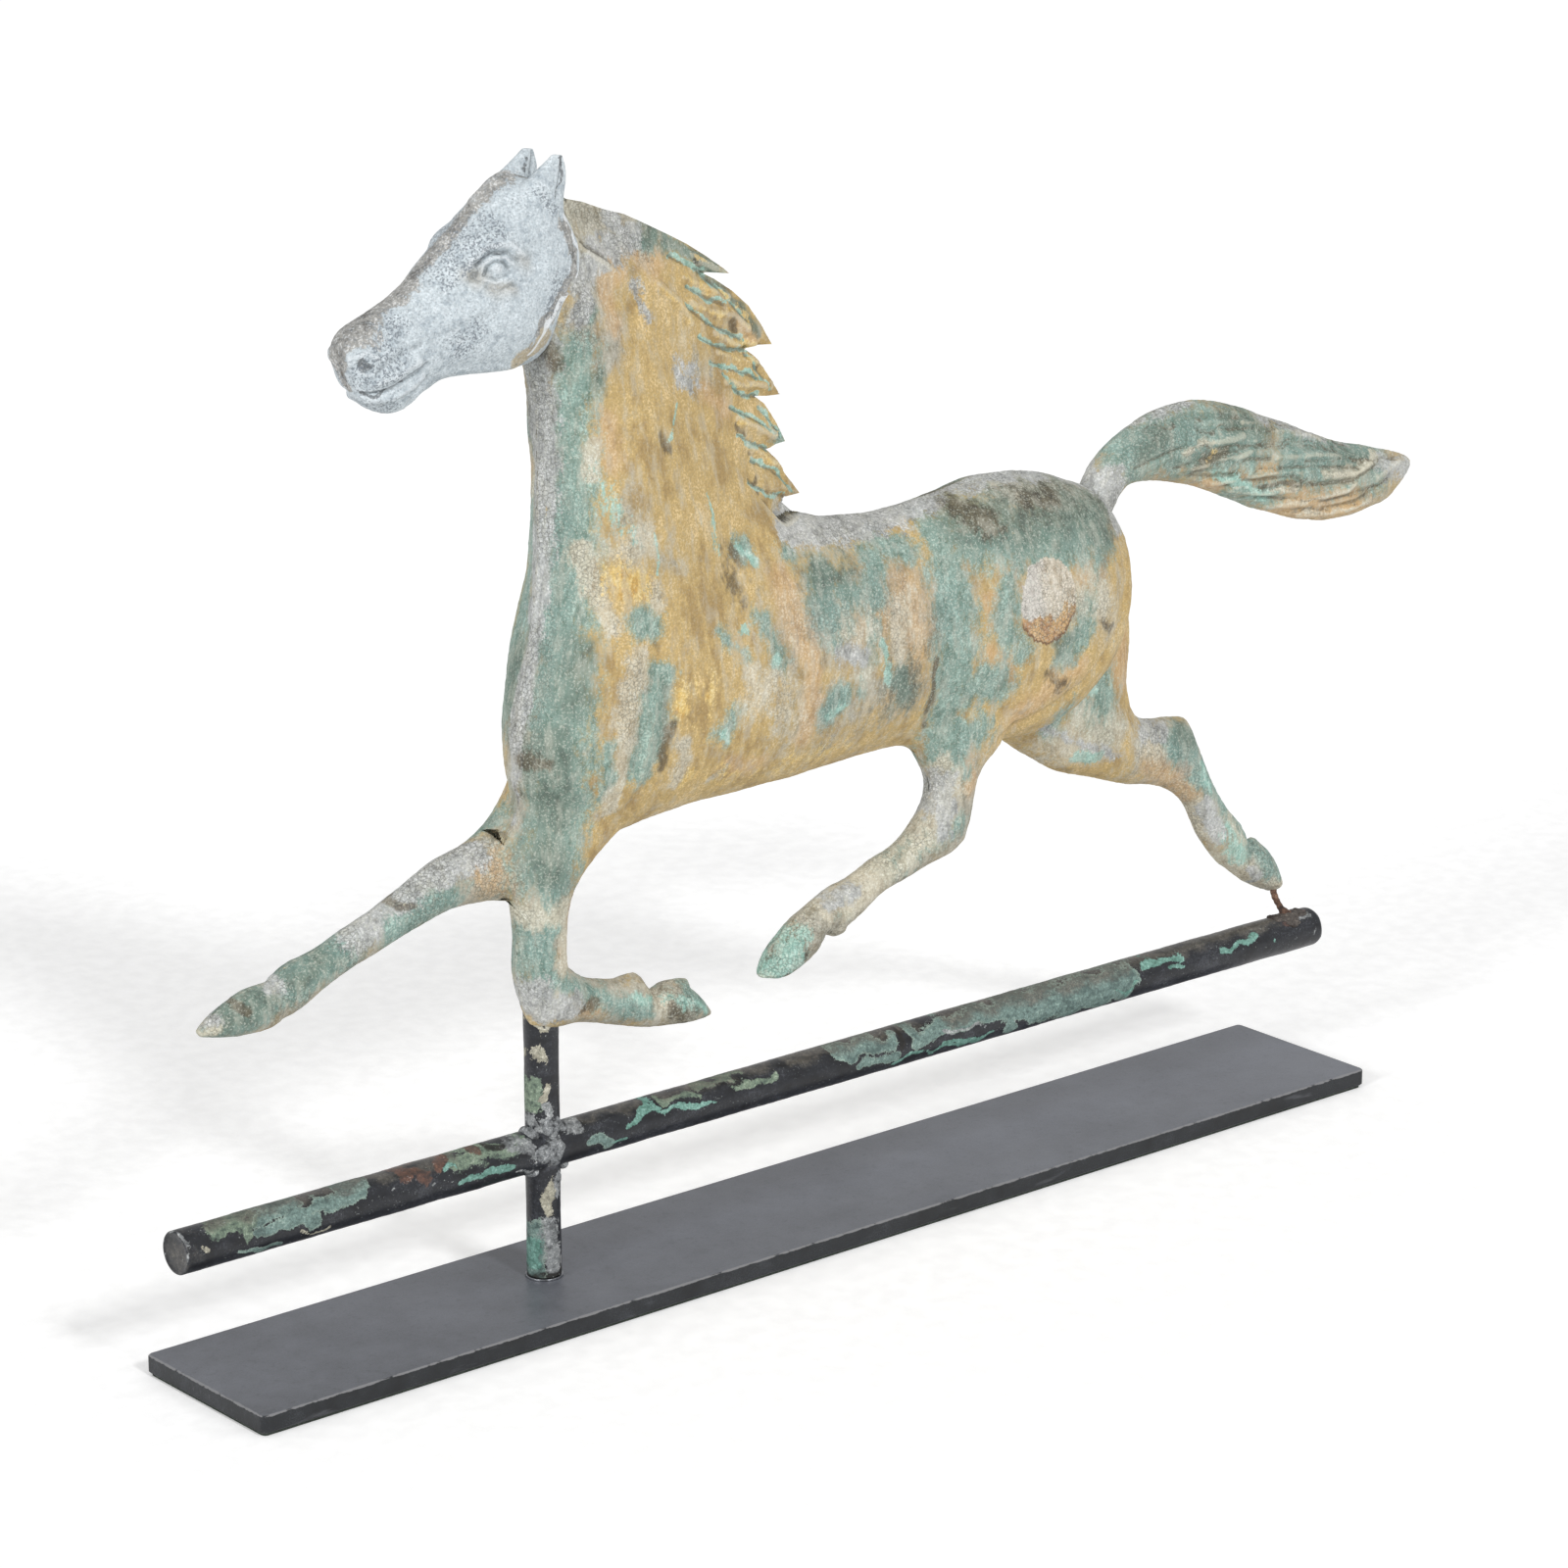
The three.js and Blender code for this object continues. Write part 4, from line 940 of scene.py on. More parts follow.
        (4, 0.7, [(390, 374), (386, 366)]),
        (4, 0.7, [(436, 382), (456, 386)]),
        (3, 0.8, [(545, 352), (572, 348), (596, 354)]),
        (7, 0.7, [(105, 300), (110, 320)]),
        (6, 0.7, [(160, 388), (150, 394)]),
    ],
    "peach": [
        (5, 1.0, [(34, 540), (35, 522), (37, 506)]),
        (5, 0.9, [(68, 538.5), (76, 538)]),
        (5, 0.85, [(130, 492), (138, 484)]),
        (8, 0.95, [(42, 532)]),
        (9, 0.85, [(58, 540), (70, 532)]),
        (7, 0.9, [(132, 365), (138, 340), (146, 320)]),
        (6, 0.95, [(147, 322), (147, 280)]),
        (9, 0.8, [(180, 330), (196, 332)]),
        (12, 0.8, [(216, 345), (218, 310), (212, 290)]),
        (6, 1.0, [(272, 330), (274, 322)]),
        (5.5, 1.0, [(270, 302), (284, 287), (276, 286)]),
        (5, 1.0, [(310, 364)]),
        (7, 0.9, [(338, 330), (346, 332)]),
        (8, 0.8, [(344, 354), (330, 344)]),
        (12, 0.9, [(404, 310), (402, 280), (404, 262)]),
        (9, 0.8, [(330, 282), (312, 272), (300, 262)]),
        (9, 0.95, [(-36, 236), (-26, 232), (-20, 236)]),
        (5, 0.9, [(10, 215), (12, 200), (10, 186)]),
        (5, 0.8, [(14, 158), (24, 154)]),
        (5, 0.7, [(-2, 188)]),
        (8, 0.85, [(430, 204), (446, 190), (464, 178)]),
        (6, 0.8, [(264, 240), (268, 226)]),
        (6, 0.7, [(410, 376), (434, 376)]),
        (7, 0.95, [(452, 378), (464, 376)]),
        (6, 0.85, [(458, 362), (490, 352), (520, 350)]),
        (6, 0.85, [(530, 344), (566, 344)]),
        (6, 0.85, [(514, 338), (548, 332), (575, 336)]),
        (7, 0.8, [(26, 460), (30, 440)]),
        (6, 0.8, [(100, 462), (112, 452)]),
        (6, 0.7, [(95, 272), (120, 268)]),
    ],
    "dark": [
        (2.2, 0.95, [(98, 528), (101, 524)]),
        (1.6, 0.95, [(122, 491), (126, 488)]),
        (2.0, 0.95, [(134, 413), (135, 405)]),
        (3.0, 0.6, [(121, 444), (126, 436)]),
        (4.5, 0.95, [(446, 372), (456, 376), (466, 377)]),
        (1.8, 0.95, [(495, 353), (512, 352), (528, 351)]),
        (9, 0.62, [(104, 384), (104, 356)]),
        (3, 0.95, [(55, 300), (53, 280)]),
        (9, 0.85, [(268, 374), (280, 368)]),
        (6, 0.8, [(306, 376), (330, 374)]),
        (4, 0.9, [(-11, 290)]),
        # a dark line at the teal's edge in the flank's groove: a paint edge with painted shade
        (2.2, 0.9, [(235, 302), (236, 266)]),
        (3, 0.9, [(142, 468)]),
        (3, 0.9, [(350, 308), (356, 302)]),
        (6, 0.7, [(312, 282), (326, 274)]),
        (4, 0.9, [(4, 492), (-2, 498)]),
        (3, 0.8, [(468, 362), (478, 360)]),
        (3, 0.8, [(16, 156), (22, 158)]),
        (5, 0.8, [(76, 142), (84, 136)]),
        (3, 0.8, [(60, 450), (64, 440)]),
        (1.8, 1.0, [(-92, 230), (-85, 227), (-77, 226)]),
        (1.6, 1.0, [(-183, 198), (-174, 194)]),
        (1.3, 1.0, [(152, 164), (144, 158), (138, 150)]),
        (1.3, 1.0, [(158, 160), (150, 152), (146, 146)]),
    ],
    "turquoise": [
        (10, 0.5, [(24, 426), (30, 410)]),
        (1.4, 0.66, [(76, 462), (72, 452), (66, 446)]),
        (1.8, 0.5, [(50, 400), (50, 380)]),
        (2.2, 0.55, [(92, 412), (94, 382)]),
        (3.4, 0.75, [(108, 384), (118, 376)]),
        (2.4, 0.8, [(105, 345)]),
        (3, 0.75, [(125, 325)]),
        (3, 0.75, [(90, 292), (96, 286)]),
        (3, 0.8, [(162, 288), (170, 292)]),
        (3, 0.8, [(372, 262), (380, 256)]),
        (3, 0.8, [(372, 218), (388, 214)]),
        (3, 0.8, [(196, 320), (200, 300)]),
        (3, 0.8, [(50, 154), (62, 148)]),
        (3, 0.8, [(92, 142), (98, 136)]),
        (4, 0.8, [(460, 366), (480, 356), (500, 346)]),
        (3, 0.8, [(472, 190), (478, 178)]),
        (8, 0.95, [(152, 162), (144, 155), (138, 148)]),
        (5, 0.6, [(74, 148), (88, 143)]),
        (6, 0.6, [(494, 152), (504, 130)]),
    ],
    "bright": [
        (11, 0.75, [(30, 382), (38, 378)]),
        (6, 0.85, [(63, 320), (62, 312)]),
        (5, 0.6, [(140, 268), (142, 262)]),
        (8, 0.45, [(76, 300), (80, 320)]),
        (5, 0.6, [(118, 524), (124, 520)]),
        (5, 0.55, [(128, 500), (134, 492)]),
        (5, 0.6, [(455, 376)]),
        (8, 0.45, [(70, 272), (120, 262), (180, 264)]),
    ],
}
coats = ["weathered", "teal", "green", "grey", "cream", "peach", "dark", "turquoise", "bright"]
# The strands of mane and tail: verdigris in the mane's grooves and dark in the tail's, gold on the mane's
# ridges and cream and tan on the tail's.
strandPaint = [
    ("turquoise", 1.2, 0.92, horse["hairLines"]),
    ("bright", 1.5, 0.7, horse["hairRidges"]),
    ("cream", 1.4, 0.72, tail["ridges"][4:7] + tail["ridges"][2:3]),
    ("peach", 4.6, 0.95, tail["ridges"][3:7]),
    ("dark", 0.8, 0.6, tail["hairLines"]),
]
for coat, radius, strength, paths in strandPaint:
    patina[coat] += strokesOf((radius, strength), paths)


headPatches = {
    "grey": [
        (5.4, 1.0, [(14, 0, 566), (5, 0, 576), (-7, 0, 582), (-20, 0, 581), (-34, 0, 571),
                    (-47, 0, 560), (-61, 0, 549), (-73, 0, 538.5)]),
        (7.5, 1.0, [(-28, 0, 576), (-18, 0, 580)]),
        (7.5, 1.0, [(-75, 0, 538), (-87, 0, 530.5), (-99, 0, 525)]),
        (11, 1.0, [(-102, 0, 524), (-112, 0, 518)]),
        (6.5, 1.0, [(-115.5, 0, 513), (-115, 0, 504)]),
        (3.6, 0.9, [(-114, 0, 502), (-112, 0, 492)]),
        (3.4, 0.9, [(7, 560), (12, 546), (11, 533), (-3, 518), (-10, 507)]),
    ],
    "green": [
        (9, 0.9, [(-104, 500), (-92, 504)]),
        (6, 0.8, [(-99, 513), (-88, 521)]),
        (8, 0.8, [(-56, 507), (-50, 512)]),
        (7, 0.8, [(-60, 539), (-46, 553), (-34, 562)]),
        (7, 0.7, [(-6, 522), (2, 532)]),
        (6, 0.7, [(-104, 482), (-90, 482)]),
        (5, 0.7, [(0, 566), (-8, 574)]),
    ],
    "weathered": [
        (0.9, 1.0, [(8, 564), (12, 556), (17, 547), (18.5, 540), (13, 529), (-0.7, 518), (-7, 509),
                    (-14, 499)]),
    ],
    "cream": [(5, 1.0, [(-6, 506), (-12, 500), (-18, 496)])],
    # dark: painted shade in the nostril, along the mouth, in the lid and ear creases and between the ears
    "dark": [
        (1.9, 0.9, [(-109.5, 504.5), (-106, 502.8)]),
        (0.8, 0.85, [(-108, 490), (-104, 489.4), (-95, 491), (-88, 494)]),
        (1.0, 0.7, [(-46, 545.5), (-38.6, 550.6), (-30, 550.4)]),
        (0.9, 0.7, [(9.5, 590), (6, 582), (3, 574)]),
        (3.4, 0.9, [(-8, 0, 581), (4, 0, 578)]),
    ],
    # peach: tan round the eye, dirt and painted shade
    "peach": [(5, 0.9, [(-49, 540.5), (-46, 540)]), (4, 0.8, [(-40, 533.5), (-30, 533)]),
              (4, 0.6, [(-22, 546), (-18, 543)])],
    "bright": [(1.5, 1.0, [(-105.5, -2, 487)])],
}


legReach, bellyHeight = 14, 262  # the far legs' middle plane, and where the legs leave the body


# Reckons the coats' amounts at each point: 0.5 at a full stroke's radius, more inside it.
def paintCoats(obj, strokes, wander=9.0):
    points = readPoints(obj)
    still = 0 * points[:, 0]
    drift = np.stack([waves(points, 60, 31), still, waves(points, 60, 32)], axis=1)
    # only the hidden side wanders far, and the far legs show their inner side
    hidden = legReach * np.clip((bellyHeight - points[:, 2]) / 20, 0, 1)
    far = np.clip((points[:, 1] - hidden) / 8, 0, 1)[:, None]
    drift = drift * far * wander * 2
    drift += np.stack([waves(points, 16, 33), still, waves(points, 16, 34)], axis=1) * 1.6
    moved = points + drift
    amounts = np.zeros((len(points), len(coats)), np.float32)
    moved[:, 1] = -np.abs(moved[:, 1])  # a path in space counts for both sides
    for coat, lines in strokes.items():
        column = coats.index(coat)
        for radius, strength, path in lines:
            near = distanceFrom(moved, path)
            amount = strength * np.clip(1 - near / (2 * radius), 0, 1)
            amounts[:, column] = np.maximum(amounts[:, column], amount)
    return amounts


# Keeps how deep each point lies in a hollow, and how high it stands.
# Hollows take dirt and painted shade, high points rubbing and a painted highlight.
def keepDirtWearAndShading(obj, rounds, depth):
    points = readPoints(obj)
    level = evened(points, readEdges(obj), rounds, np.full(len(points), 0.5))
    lift = np.sum((points - level) * readNormals(obj), axis=1) / depth
    values = np.zeros((len(points), 4), np.float32)
    values[:, 0] = np.clip(-lift, 0, 1)
    values[:, 1] = np.clip(lift, 0, 1)
    keepLayer(obj, "dirtWearAndShading", values)


def keepCoats(obj, amounts):
    for start in range(0, len(coats), 3):
        values = np.ones((len(amounts), 4), np.float32)
        values[:, :3] = amounts[:, start : start + 3]
        keepLayer(obj, f"coat{start // 3}", values)


horseForm = makeHorseForm()
print("horse form:", len(horseForm.data.vertices), "points")
tailForm = makeTailForm()
headForm = makeHeadForm()
print("tail and head:", len(tailForm.data.vertices), len(headForm.data.vertices), "points")

keepCoats(horseForm, paintCoats(horseForm, patina))
keepCoats(tailForm, paintCoats(tailForm, patina))
keepCoats(headForm, paintCoats(headForm, headPatches, 2.0))
keepDirtWearAndShading(horseForm, 16, 0.8)
keepDirtWearAndShading(tailForm, 16, 0.9)
keepDirtWearAndShading(headForm, 24, 0.6)
print("coats painted")

centres = faceCentres(horseForm)
sideView = centres[:, [0, 2]]
owner = np.full(len(centres), "body", dtype=object)
for name, corners in cuts.items():
    if name != "maneInner":
        owner[insidePolygon(sideView, corners)] = name
kept = insidePolygon(sideView, cuts["maneInner"] + horse["maneEdge"])
owner[(owner == "maneLocks") & ~kept] = "offcut"
pieces = []


def addPiece(piece, body, node):
    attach(piece, body)
    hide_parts(node)
    pieces.append(piece)


def cutHalves(form, faces, across, middle, names, edge=None):
    near = cutOut(form, names[0], faces & (across < middle), middle, 1, edge)
    far = cutOut(form, names[1], faces & (across >= middle), middle, -1, edge)
    return near, far


across = centres[:, 1]
near, far = cutHalves(horseForm, owner == "body", across, 0, ("bodyLeft", "bodyRight"))
addPiece(near, "vane", "body_left_half")
addPiece(far, "vane", "body_right_half")
near, far = cutHalves(
    horseForm, owner == "maneLocks", across, 0, ("maneLocks", "maneFar"), horse["maneEdge"])
pick(near)
far.select_set(True)
bpy.ops.object.join()
addPiece(near, "vane", "mane_sheet")
for leg, node in (
    ("nearForeleg", "near_foreleg"),
    ("farForeleg", "far_foreleg"),
    ("nearHindleg", "near_hindleg"),
    ("farHindleg", "far_hindleg"),
):
    middle = horse["sides"][leg] * square
    ends = ["Outer", "Inner"] if middle < 0 else ["Inner", "Outer"]
    halves = cutHalves(horseForm, owner == leg, across, middle, [leg + end for end in ends])
    for half, end in zip(halves, ends):
        addPiece(half, "vane", node + "_" + end.lower())
for form, name, slot in (
    (tailForm, "tail", "verdigris_copper"),
    (headForm, "head", "painted_zinc"),
):
    across = faceCentres(form)[:, 1]
    whole = np.full(len(across), True)
    near, far = cutHalves(form, whole, across, 0, (name + "Left", name + "Right"))
    addPiece(near, "vane", name + "_left_half")
    addPiece(far, "vane", name + "_right_half")
for form in (horseForm, tailForm, headForm):
    bpy.data.objects.remove(form)
print("horse cut into pieces:", len(pieces))


# Pipes, caps, solder and wire
pipes = {
    "upright": {"radius": 9.0, "wall": 1.7, "start": 12.8, "end": 286.0, "cuts": (11, 7)},
    "crossbar": {"radius": 11.1, "wall": 1.7, "start": -221.6, "end": 554.8, "cuts": (21, 21)},
    "waver": (0.12, 45, 41),
    "pits": (0.05, 6, 42),
    "frontCap": {"radius": 11.1, "start": -224.0, "end": -221.6, "rim": 1.2, "dish": 0.35},
    "rearCap": {"radius": 11.1, "start": 554.8, "reach": 5.2, "unevenness": (0.18, 9, 43)},
    "washer": {"radius": 9.75, "hole": 6.3, "start": 11.0, "end": 12.2},
}
# Lumps of solder at the crossing and of rust at the wire's foot: centre and half lengths.
solderLumps = [
    ((0, 0, 81), (12.1, 12.0, 12.1)),
    ((9.4, -0.6, 90.6), (3.8, 7.4, 3.8)),
    ((-9.4, -0.6, 90.6), (3.8, 7.4, 3.8)),
    ((9.4, -0.6, 71.4), (3.8, 7.4, 3.8)),
    ((-9.4, -0.6, 71.4), (3.8, 7.4, 3.8)),
    ((-3, -10.4, 82), (11, 1.5, 6)),
    ((0, -8.2, 95), (6, 1.1, 6)),
    ((1, -7.9, 66), (5, 1.2, 6)),
    ((0, 10.4, 82), (9, 1.6, 7)),
]
rustLumps = [
    ((530, 0, 90.8), (7, 5.5, 2.1)),
    ((538, -1, 91.0), (7, 6.5, 2.1)),
    ((547, 0, 90.6), (6, 6, 2.0)),
    ((537, -6, 88.6), (6, 4, 2.2)),
]
wire = {
    "radius": 1.85,
    "knobs": (0.22, 4.5, 61),
    "crust": (0.08, 1.6, 62),
    "path": [(538, 13.5, 109), (538.3, 12.5, 105.5), (537.6, 9.6, 101), (537, 5.8, 97.5),
             (536.6, 2.4, 94.5), (536.2, 0.7, 92.6), (536, 0.3, 91)],
    "hook": [(536.6, 2.6, 95), (537.6, 1.6, 93.4), (539.4, 0.8, 92.4), (541, 0.3, 91.8)],
}


def selectWhere(obj, kind, test):
    bpy.ops.object.mode_set(mode="OBJECT")
    mesh = obj.data
    for group in (mesh.vertices, mesh.edges, mesh.polygons):
        group.foreach_set("select", [False] * len(group))
    for item in getattr(mesh, kind):
        item.select = bool(test(item))
    modes = {"vertices": "VERT", "edges": "EDGE", "polygons": "FACE"}
    bpy.ops.object.mode_set(mode="EDIT")
    bpy.ops.mesh.select_mode(type=modes[kind])


# Names a new primitive and puts its place and turn into its mesh.
def settle(name):
    obj = bpy.context.object
    obj.name = name
    bpy.ops.object.transform_apply(location=True, rotation=True, scale=True)
    return obj


# A round bar from start to end, lying in the crossbar's line or upright.
def addRound(name, size, lying, rounds=64, ends="NGON"):
    middle = (size["end"] + size["start"]) / 2
    place = (middle, 0, axisHeight) if lying else (0, 0, middle)
    bpy.ops.mesh.primitive_cylinder_add(
        vertices=rounds,
        radius=size["radius"] * mm,
        depth=(size["end"] - size["start"]) * mm,
        end_fill_type=ends,
        location=[value * mm for value in place],
        rotation=(0, math.pi / 2 if lying else 0, 0),
    )
    return settle(name)


def smoothBelow(degrees):
    bpy.ops.object.mode_set(mode="OBJECT")
    bpy.ops.object.shade_smooth_by_angle(angle=math.radians(degrees))


# A pipe along Z or X: a cylinder cut into rings, given its wall, then made a little uneven.
def makePipe(name, size, lying):
    obj = addRound(name, size, lying, ends="NOTHING")
    along = 0 if lying else 2
    vertices = obj.data.vertices
    for count in size["cuts"]:
        selectWhere(obj, "edges", lambda edge: abs(
            vertices[edge.vertices[0]].co[along] - vertices[edge.vertices[1]].co[along]) > 0.1 * mm)
        bpy.ops.mesh.subdivide(number_cuts=count)
    bpy.ops.object.mode_set(mode="OBJECT")
    points = readPoints(obj)
    swell(obj, ripple(points, pipes["waver"], 14) + ripple(points, pipes["pits"]))
    wall = obj.modifiers.new("wall", "SOLIDIFY")
    wall.thickness = size["wall"] * mm
    wall.offset = -1
    pick(obj)
    bpy.ops.object.modifier_apply(modifier="wall")
    smoothBelow(40)
    return obj


# The flat disc in the crossbar's near end: a low cylinder, its face dished inside a soft rim.
def makeFrontCap():
    size = pipes["frontCap"]
    obj = addRound("frontEndCap", size, True)
    selectWhere(obj, "polygons", lambda face: face.normal.x < -0.9)
    bpy.ops.mesh.inset(thickness=size["rim"] * mm)
    bpy.ops.mesh.inset(thickness=0.5 * mm)
    bpy.ops.transform.translate(value=(size["dish"] * mm, 0, 0))
    for _ in range(3):
        bpy.ops.mesh.inset(thickness=2.2 * mm)
    bpy.ops.mesh.poke()
    front, rim = size["start"] * mm + 1e-5, (size["radius"] - 0.1) * mm
    vertices = obj.data.vertices
    selectWhere(obj, "edges", lambda edge: all(
        vertices[i].co.x < front
        and math.hypot(vertices[i].co.y, vertices[i].co.z - axisHeight * mm) > rim
        for i in edge.vertices))
    bpy.ops.mesh.bevel(offset=0.7 * mm, segments=4, affect="EDGES")
    smoothBelow(35)
    return obj


# The rounded plug in the far end: half a ball pressed flat along the bar.
def makeRearCap():
    size = pipes["rearCap"]
    bpy.ops.mesh.primitive_uv_sphere_add(
        segments=64,
        ring_count=40,
        radius=size["radius"] * mm,
        location=(size["start"] * mm, 0, axisHeight * mm),
        rotation=(0, math.pi / 2, 0),
    )
    obj = settle("rearEndCap")
    bpy.ops.object.mode_set(mode="EDIT")
    bpy.ops.mesh.select_all(action="SELECT")
    bpy.ops.mesh.bisect(
        plane_co=((size["start"] + 0.01) * mm, 0, 0),
        plane_no=(1, 0, 0),
        clear_inner=True,
        use_fill=True,
    )
    bpy.ops.object.mode_set(mode="OBJECT")
    points = readPoints(obj)
    # a squarer shoulder than a plain ball has
    out = np.hypot(points[:, 1], points[:, 2] - axisHeight) / size["radius"]
    points[:, 0] = size["start"] + size["reach"] * np.clip(1 - out**3.2, 0, 1) ** 0.5
    writePoints(obj, points)
    swell(obj, ripple(readPoints(obj), size["unevenness"], 14) * (out < 0.97))
    smoothBelow(60)
    return obj


# A closed skin round an egg-shaped lump, of so many rings from end to end.
def eggSkin(centre, halves, rings=20):
    points, faces = [(0, 0, 1)], []
    for i in range(1, rings):
        tilt = math.pi * i / rings
        around = math.sin(tilt)
        for j in range(2 * rings):
            turn = math.pi * j / rings
            points.append((around * math.cos(turn), around * math.sin(turn), math.cos(tilt)))
    points.append((0, 0, -1))
    last = len(points) - 1
    for j in range(2 * rings):
        follow = (j + 1) % (2 * rings)
        faces.append((0, 1 + j, 1 + follow))
        faces.append((last, last - 2 * rings + follow, last - 2 * rings + j))
        for i in range(rings - 2):
            a, b = 1 + i * 2 * rings + j, 1 + i * 2 * rings + follow
            faces.append((a, a + 2 * rings, b + 2 * rings, b))
    return np.array(points) * halves + centre, faces


def makeLumps(name, lumps, rough, seed):
    obj = fuse(name, [eggSkin(centre, halves) for centre, halves in lumps], 0.55)
    relax(obj, 10, 0.6)
    points = readPoints(obj)
    swell(obj, ripple(points, (rough, 6, seed)) + ripple(points, (0.5 * rough, 2.4, seed + 1)))
    obj.data.shade_smooth()
    return obj


# The wire and its bent end: bent round bars turned into a mesh and made knobbly.
def makeWire():
    skins = []
    for path in (wire["path"], wire["hook"]):
        curve = bpy.data.curves.new("wirePath", "CURVE")
        curve.dimensions = "3D"
        spline = curve.splines.new("NURBS")
        spline.points.add(len(path) - 1)
        for point, place in zip(spline.points, path):
            point.co = (*[value * mm for value in place], 1)
        spline.use_endpoint_u = True
        spline.order_u = 4
        spline.resolution_u = 8
        curve.bevel_depth = wire["radius"] * mm
        curve.bevel_resolution = 5
        curve.use_fill_caps = True
        obj = bpy.data.objects.new("wirePath", curve)
        bpy.context.scene.collection.objects.link(obj)
        pick(obj)
        bpy.ops.object.convert(target="MESH")
        skins.append((readPoints(obj), [tuple(face.vertices) for face in obj.data.polygons]))
        bpy.data.objects.remove(obj)
    obj = fuse("hoofWire", skins, 0.4)
    relax(obj, 3, 0.5)
    points = readPoints(obj)
    swell(obj, ripple(points, wire["knobs"], 20) + ripple(points, wire["crust"]))
    obj.data.shade_smooth()
    return obj


def makeWasher():
    size = pipes["washer"]
    obj = addRound("footWasher", size, False, 72)
    selectWhere(obj, "polygons", lambda face: abs(face.normal.z) > 0.9)
    bpy.ops.mesh.inset(thickness=(size["radius"] - size["hole"]) * mm)
    bpy.ops.mesh.bridge_edge_loops()
    bpy.ops.object.mode_set(mode="OBJECT")
    softer = obj.modifiers.new("softer", "BEVEL")
    softer.width = 0.25 * mm
    softer.segments = 3
    softer.limit_method = "ANGLE"
    bpy.ops.object.modifier_apply(modifier="softer")
    smoothBelow(35)
    return obj
